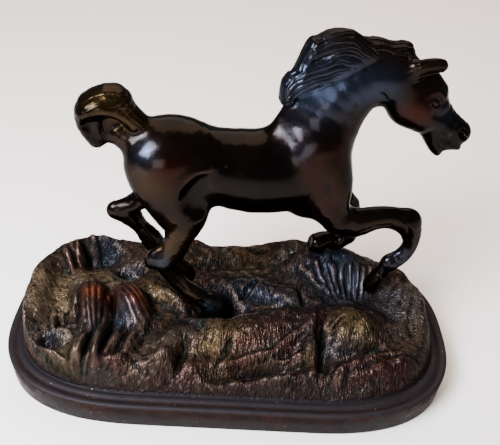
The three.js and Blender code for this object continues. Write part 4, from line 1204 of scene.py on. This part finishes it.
def base_bronze():
    p = Patina("base_patina")
    broad, fine, small = p.noise(14, 3, 0.6, 7.0), p.noise(4, 5, 0.6, 9.0), p.noise(0.9, 3, 0.6, 11.0)
    relief = p.mask("fine")
    red = p.scaled(p.mask("red"), fine, 0.25, 0.6, 0.6)
    blue_and_sheen = p.scaled(p.mask("blue_and_sheen"), fine, 0.25, 0.6, 0.4)
    worn = p.scaled(p.between(relief, 0.1, 0.9), fine, 0.3, 0.6, 0.2, 0.8)
    worn = p.scaled(worn, red, 0.2, 0.9, 1, 0.15)
    hollow = p.between(p.mask("broad"), -0.1, -0.9)
    ground = p.layers(
        p.mix(p.between(broad, 0.36, 0.64), (0.0078, 0.0049, 0.0045), (0.0188, 0.0114, 0.0080)),
        # Ochre patina, painted lighter where the tops catch the light
        (p.scaled(p.mask("ochre_and_sheen"), fine, 0.25, 0.6, 0.3), (0.052, 0.033, 0.0115)),
        (red, (0.044, 0.0135, 0.0115)),
        (p.between(red, 0.5, 0.95), (0.092, 0.0215, 0.0095)),
        # Pale patina with painted highlights
        (p.scaled(p.mask("pale_and_sheen"), fine, 0.25, 0.6, 0.4), (0.130, 0.092, 0.060)),
        (blue_and_sheen, (0.011, 0.015, 0.025)),
        (p.scaled(hollow, broad, 0.42, 0.6, 0.05, 0.5), (0.010, 0.016, 0.012)),
        (p.scaled(worn, blue_and_sheen, 0.2, 0.9, 1, 0.4), (0.064, 0.041, 0.030)),
        # Darker in the fine recesses: dark patina with painted shade
        (p.scaled(p.between(relief, -0.1, -0.8), small, 0.3, 0.6, 0.4), (0.003, 0.003, 0.0026)),
        (p.above(GROUND_FOOT, 1, 7, 0.6, 0), (0.0150, 0.0088, 0.0074)),
    )
    plinth = p.layers(
        p.mix(p.between(broad, 0.35, 0.65), (0.0085, 0.0044, 0.0040), (0.0160, 0.0070, 0.0048)),
        # The rubbed upper edge, with a painted highlight
        (p.scaled(p.mask("arris"), fine, 0.3, 0.6, 0.3), (0.024, 0.018, 0.018)),
        # The plinth's top in bluish grey: patina with a painted sheen where it faces up
        (p.above(PLINTH_HEIGHT, -1, 0.2, 0, 0.7), (0.0165, 0.0150, 0.0175)),
    )
    on_ground = p.above(PLINTH_HEIGHT, 0.6, 2.4)
    dust = p.scaled(p.between(p.noise(0.7, 2, 0.5, 15.0), 0.70, 0.76), broad, 0.45, 0.6)
    rough = p.math("ADD", p.between(fine, 0.3, 0.7, 0.26, 0.42), p.between(relief, 0, -0.8, 0, 0.25))
    # Fine strokes run down the banks: along y on the long sides, along x at the ends
    down, sideways, ends = p.streaks((0.9, 3, 3), 17.0), p.streaks((3, 0.9, 3), 19.0), p.mask("ends")
    along = p.math("MULTIPLY", down, p.math("SUBTRACT", 1, ends))
    strokes = p.math("ADD", along, p.math("MULTIPLY", sideways, ends))
    strokes = p.scaled(p.mask("fur"), strokes, 0.35, 0.65)
    grain = p.math("ADD", p.math("MULTIPLY", fine, 0.4), p.math("MULTIPLY", small, 0.5))
    p.fill(p.shader, {
        "Base Color": p.layers(plinth, (on_ground, ground), (dust, (0.30, 0.29, 0.25))),
        "Metallic": 0.7,
        "Roughness": p.math("SUBTRACT", rough, p.math("MULTIPLY", red, 0.2)),
        "Specular IOR Level": 0.2,
        "Specular Tint": (0.34, 0.28, 0.28),
        "Normal": p.bump(p.math("ADD", grain, strokes), 0.3),
    })
    return p.material


# The object

horse = make_horse()
horse.data.materials.append(horse_bronze())
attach(horse, "root")
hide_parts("horse")

base = make_base()
base.data.materials.append(base_bronze())
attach(base, "root")
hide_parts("base")

# Floor, lights and camera

# The floor's half length in millimetres, its height in metres, and the point the lights are set round
FLOOR_HALF = 1500
FLOOR_HEIGHT = -0.0002
LIGHT_CENTRE = np.array([0, 0, 0.08])

# The camera, fitted to the photo: its turn, lift and roll in degrees, what it aims at and from how far
CAMERA_TURN = -1.0481
CAMERA_LIFT = 35.3324
CAMERA_ROLL = 3.6541
CAMERA_AIM = np.array([0.0070543, 0, 0.076807])
CAMERA_DISTANCE = 0.329095
CAMERA_LENS = 50.4


def make_floor():
    corners = np.array([(-1, -1, 0), (1, -1, 0), (1, 1, 0), (-1, 1, 0)]) * FLOOR_HALF
    floor = make_mesh("floor", corners, np.array([(0, 1, 2, 3)]))
    floor.location.z = FLOOR_HEIGHT
    cloth = bpy.data.materials.new("floor_cloth")
    cloth.use_nodes = True
    shader = cloth.node_tree.nodes["Principled BSDF"]
    shader.inputs["Base Color"].default_value = (0.95, 0.85, 0.78, 1)
    shader.inputs["Roughness"].default_value = 0.9
    floor.data.materials.append(cloth)


def toward(azimuth, elevation):
    """A direction from the object, in degrees: azimuth 0 is the camera's side, -90 the photo's left."""
    a, e = np.radians([azimuth, elevation])
    return np.array([np.sin(a) * np.cos(e), -np.cos(a) * np.cos(e), np.sin(e)])


def put_up(name, data, place, aim, roll=0.0):
    """Puts a light or the camera at a place, turned to what it aims at and then rolled."""
    back = place - np.array(aim, float)
    back /= np.linalg.norm(back)
    right = np.cross([0, 0, 1], back)
    right /= np.linalg.norm(right)
    up = np.cross(back, right)
    c, s = np.cos(np.radians(roll)), np.sin(np.radians(roll))
    axes = np.stack([right * c + up * s, up * c - right * s, back, place], axis=1)
    thing = bpy.data.objects.new(name, data)
    thing.matrix_world = Matrix([*axes.tolist(), [0, 0, 0, 1]])
    bpy.context.scene.collection.objects.link(thing)
    return thing


def area_light(name, azimuth, elevation, distance, aim, size, power, color):
    data = bpy.data.lights.new(name, "AREA")
    data.size = size
    data.energy = power
    data.color = color
    put_up(name, data, LIGHT_CENTRE + distance * toward(azimuth, elevation), (0, 0, aim))


def make_camera():
    data = bpy.data.cameras.new("camera")
    data.lens = CAMERA_LENS
    data.sensor_width = 36
    data.clip_start = 0.01
    place = CAMERA_AIM + CAMERA_DISTANCE * toward(CAMERA_TURN, CAMERA_LIFT)
    bpy.context.scene.camera = put_up("camera", data, place, CAMERA_AIM, CAMERA_ROLL)


make_floor()
# Each with its azimuth, elevation and distance, the height it aims at, its size, power and colour
area_light("window", -46, 42, 0.62, 0.06, 0.36, 17, (0.93, 0.96, 1))
area_light("pane", -44, 40, 0.6, 0.06, 0.11, 4.4, (0.30, 0.58, 1))
area_light("low_window", -2, 9, 1.1, 0.08, 0.42, 4.2, (0.80, 0.82, 0.92))
area_light("backdrop", 172, 56, 1.0, 0.08, 1.1, 15, (1, 0.86, 0.72))
world = bpy.data.worlds.new("room")
world.use_nodes = True
world.node_tree.nodes["Background"].inputs["Color"].default_value = (0.93, 0.90, 0.90, 1)
world.node_tree.nodes["Background"].inputs["Strength"].default_value = 0.4
bpy.context.scene.world = world
make_camera()
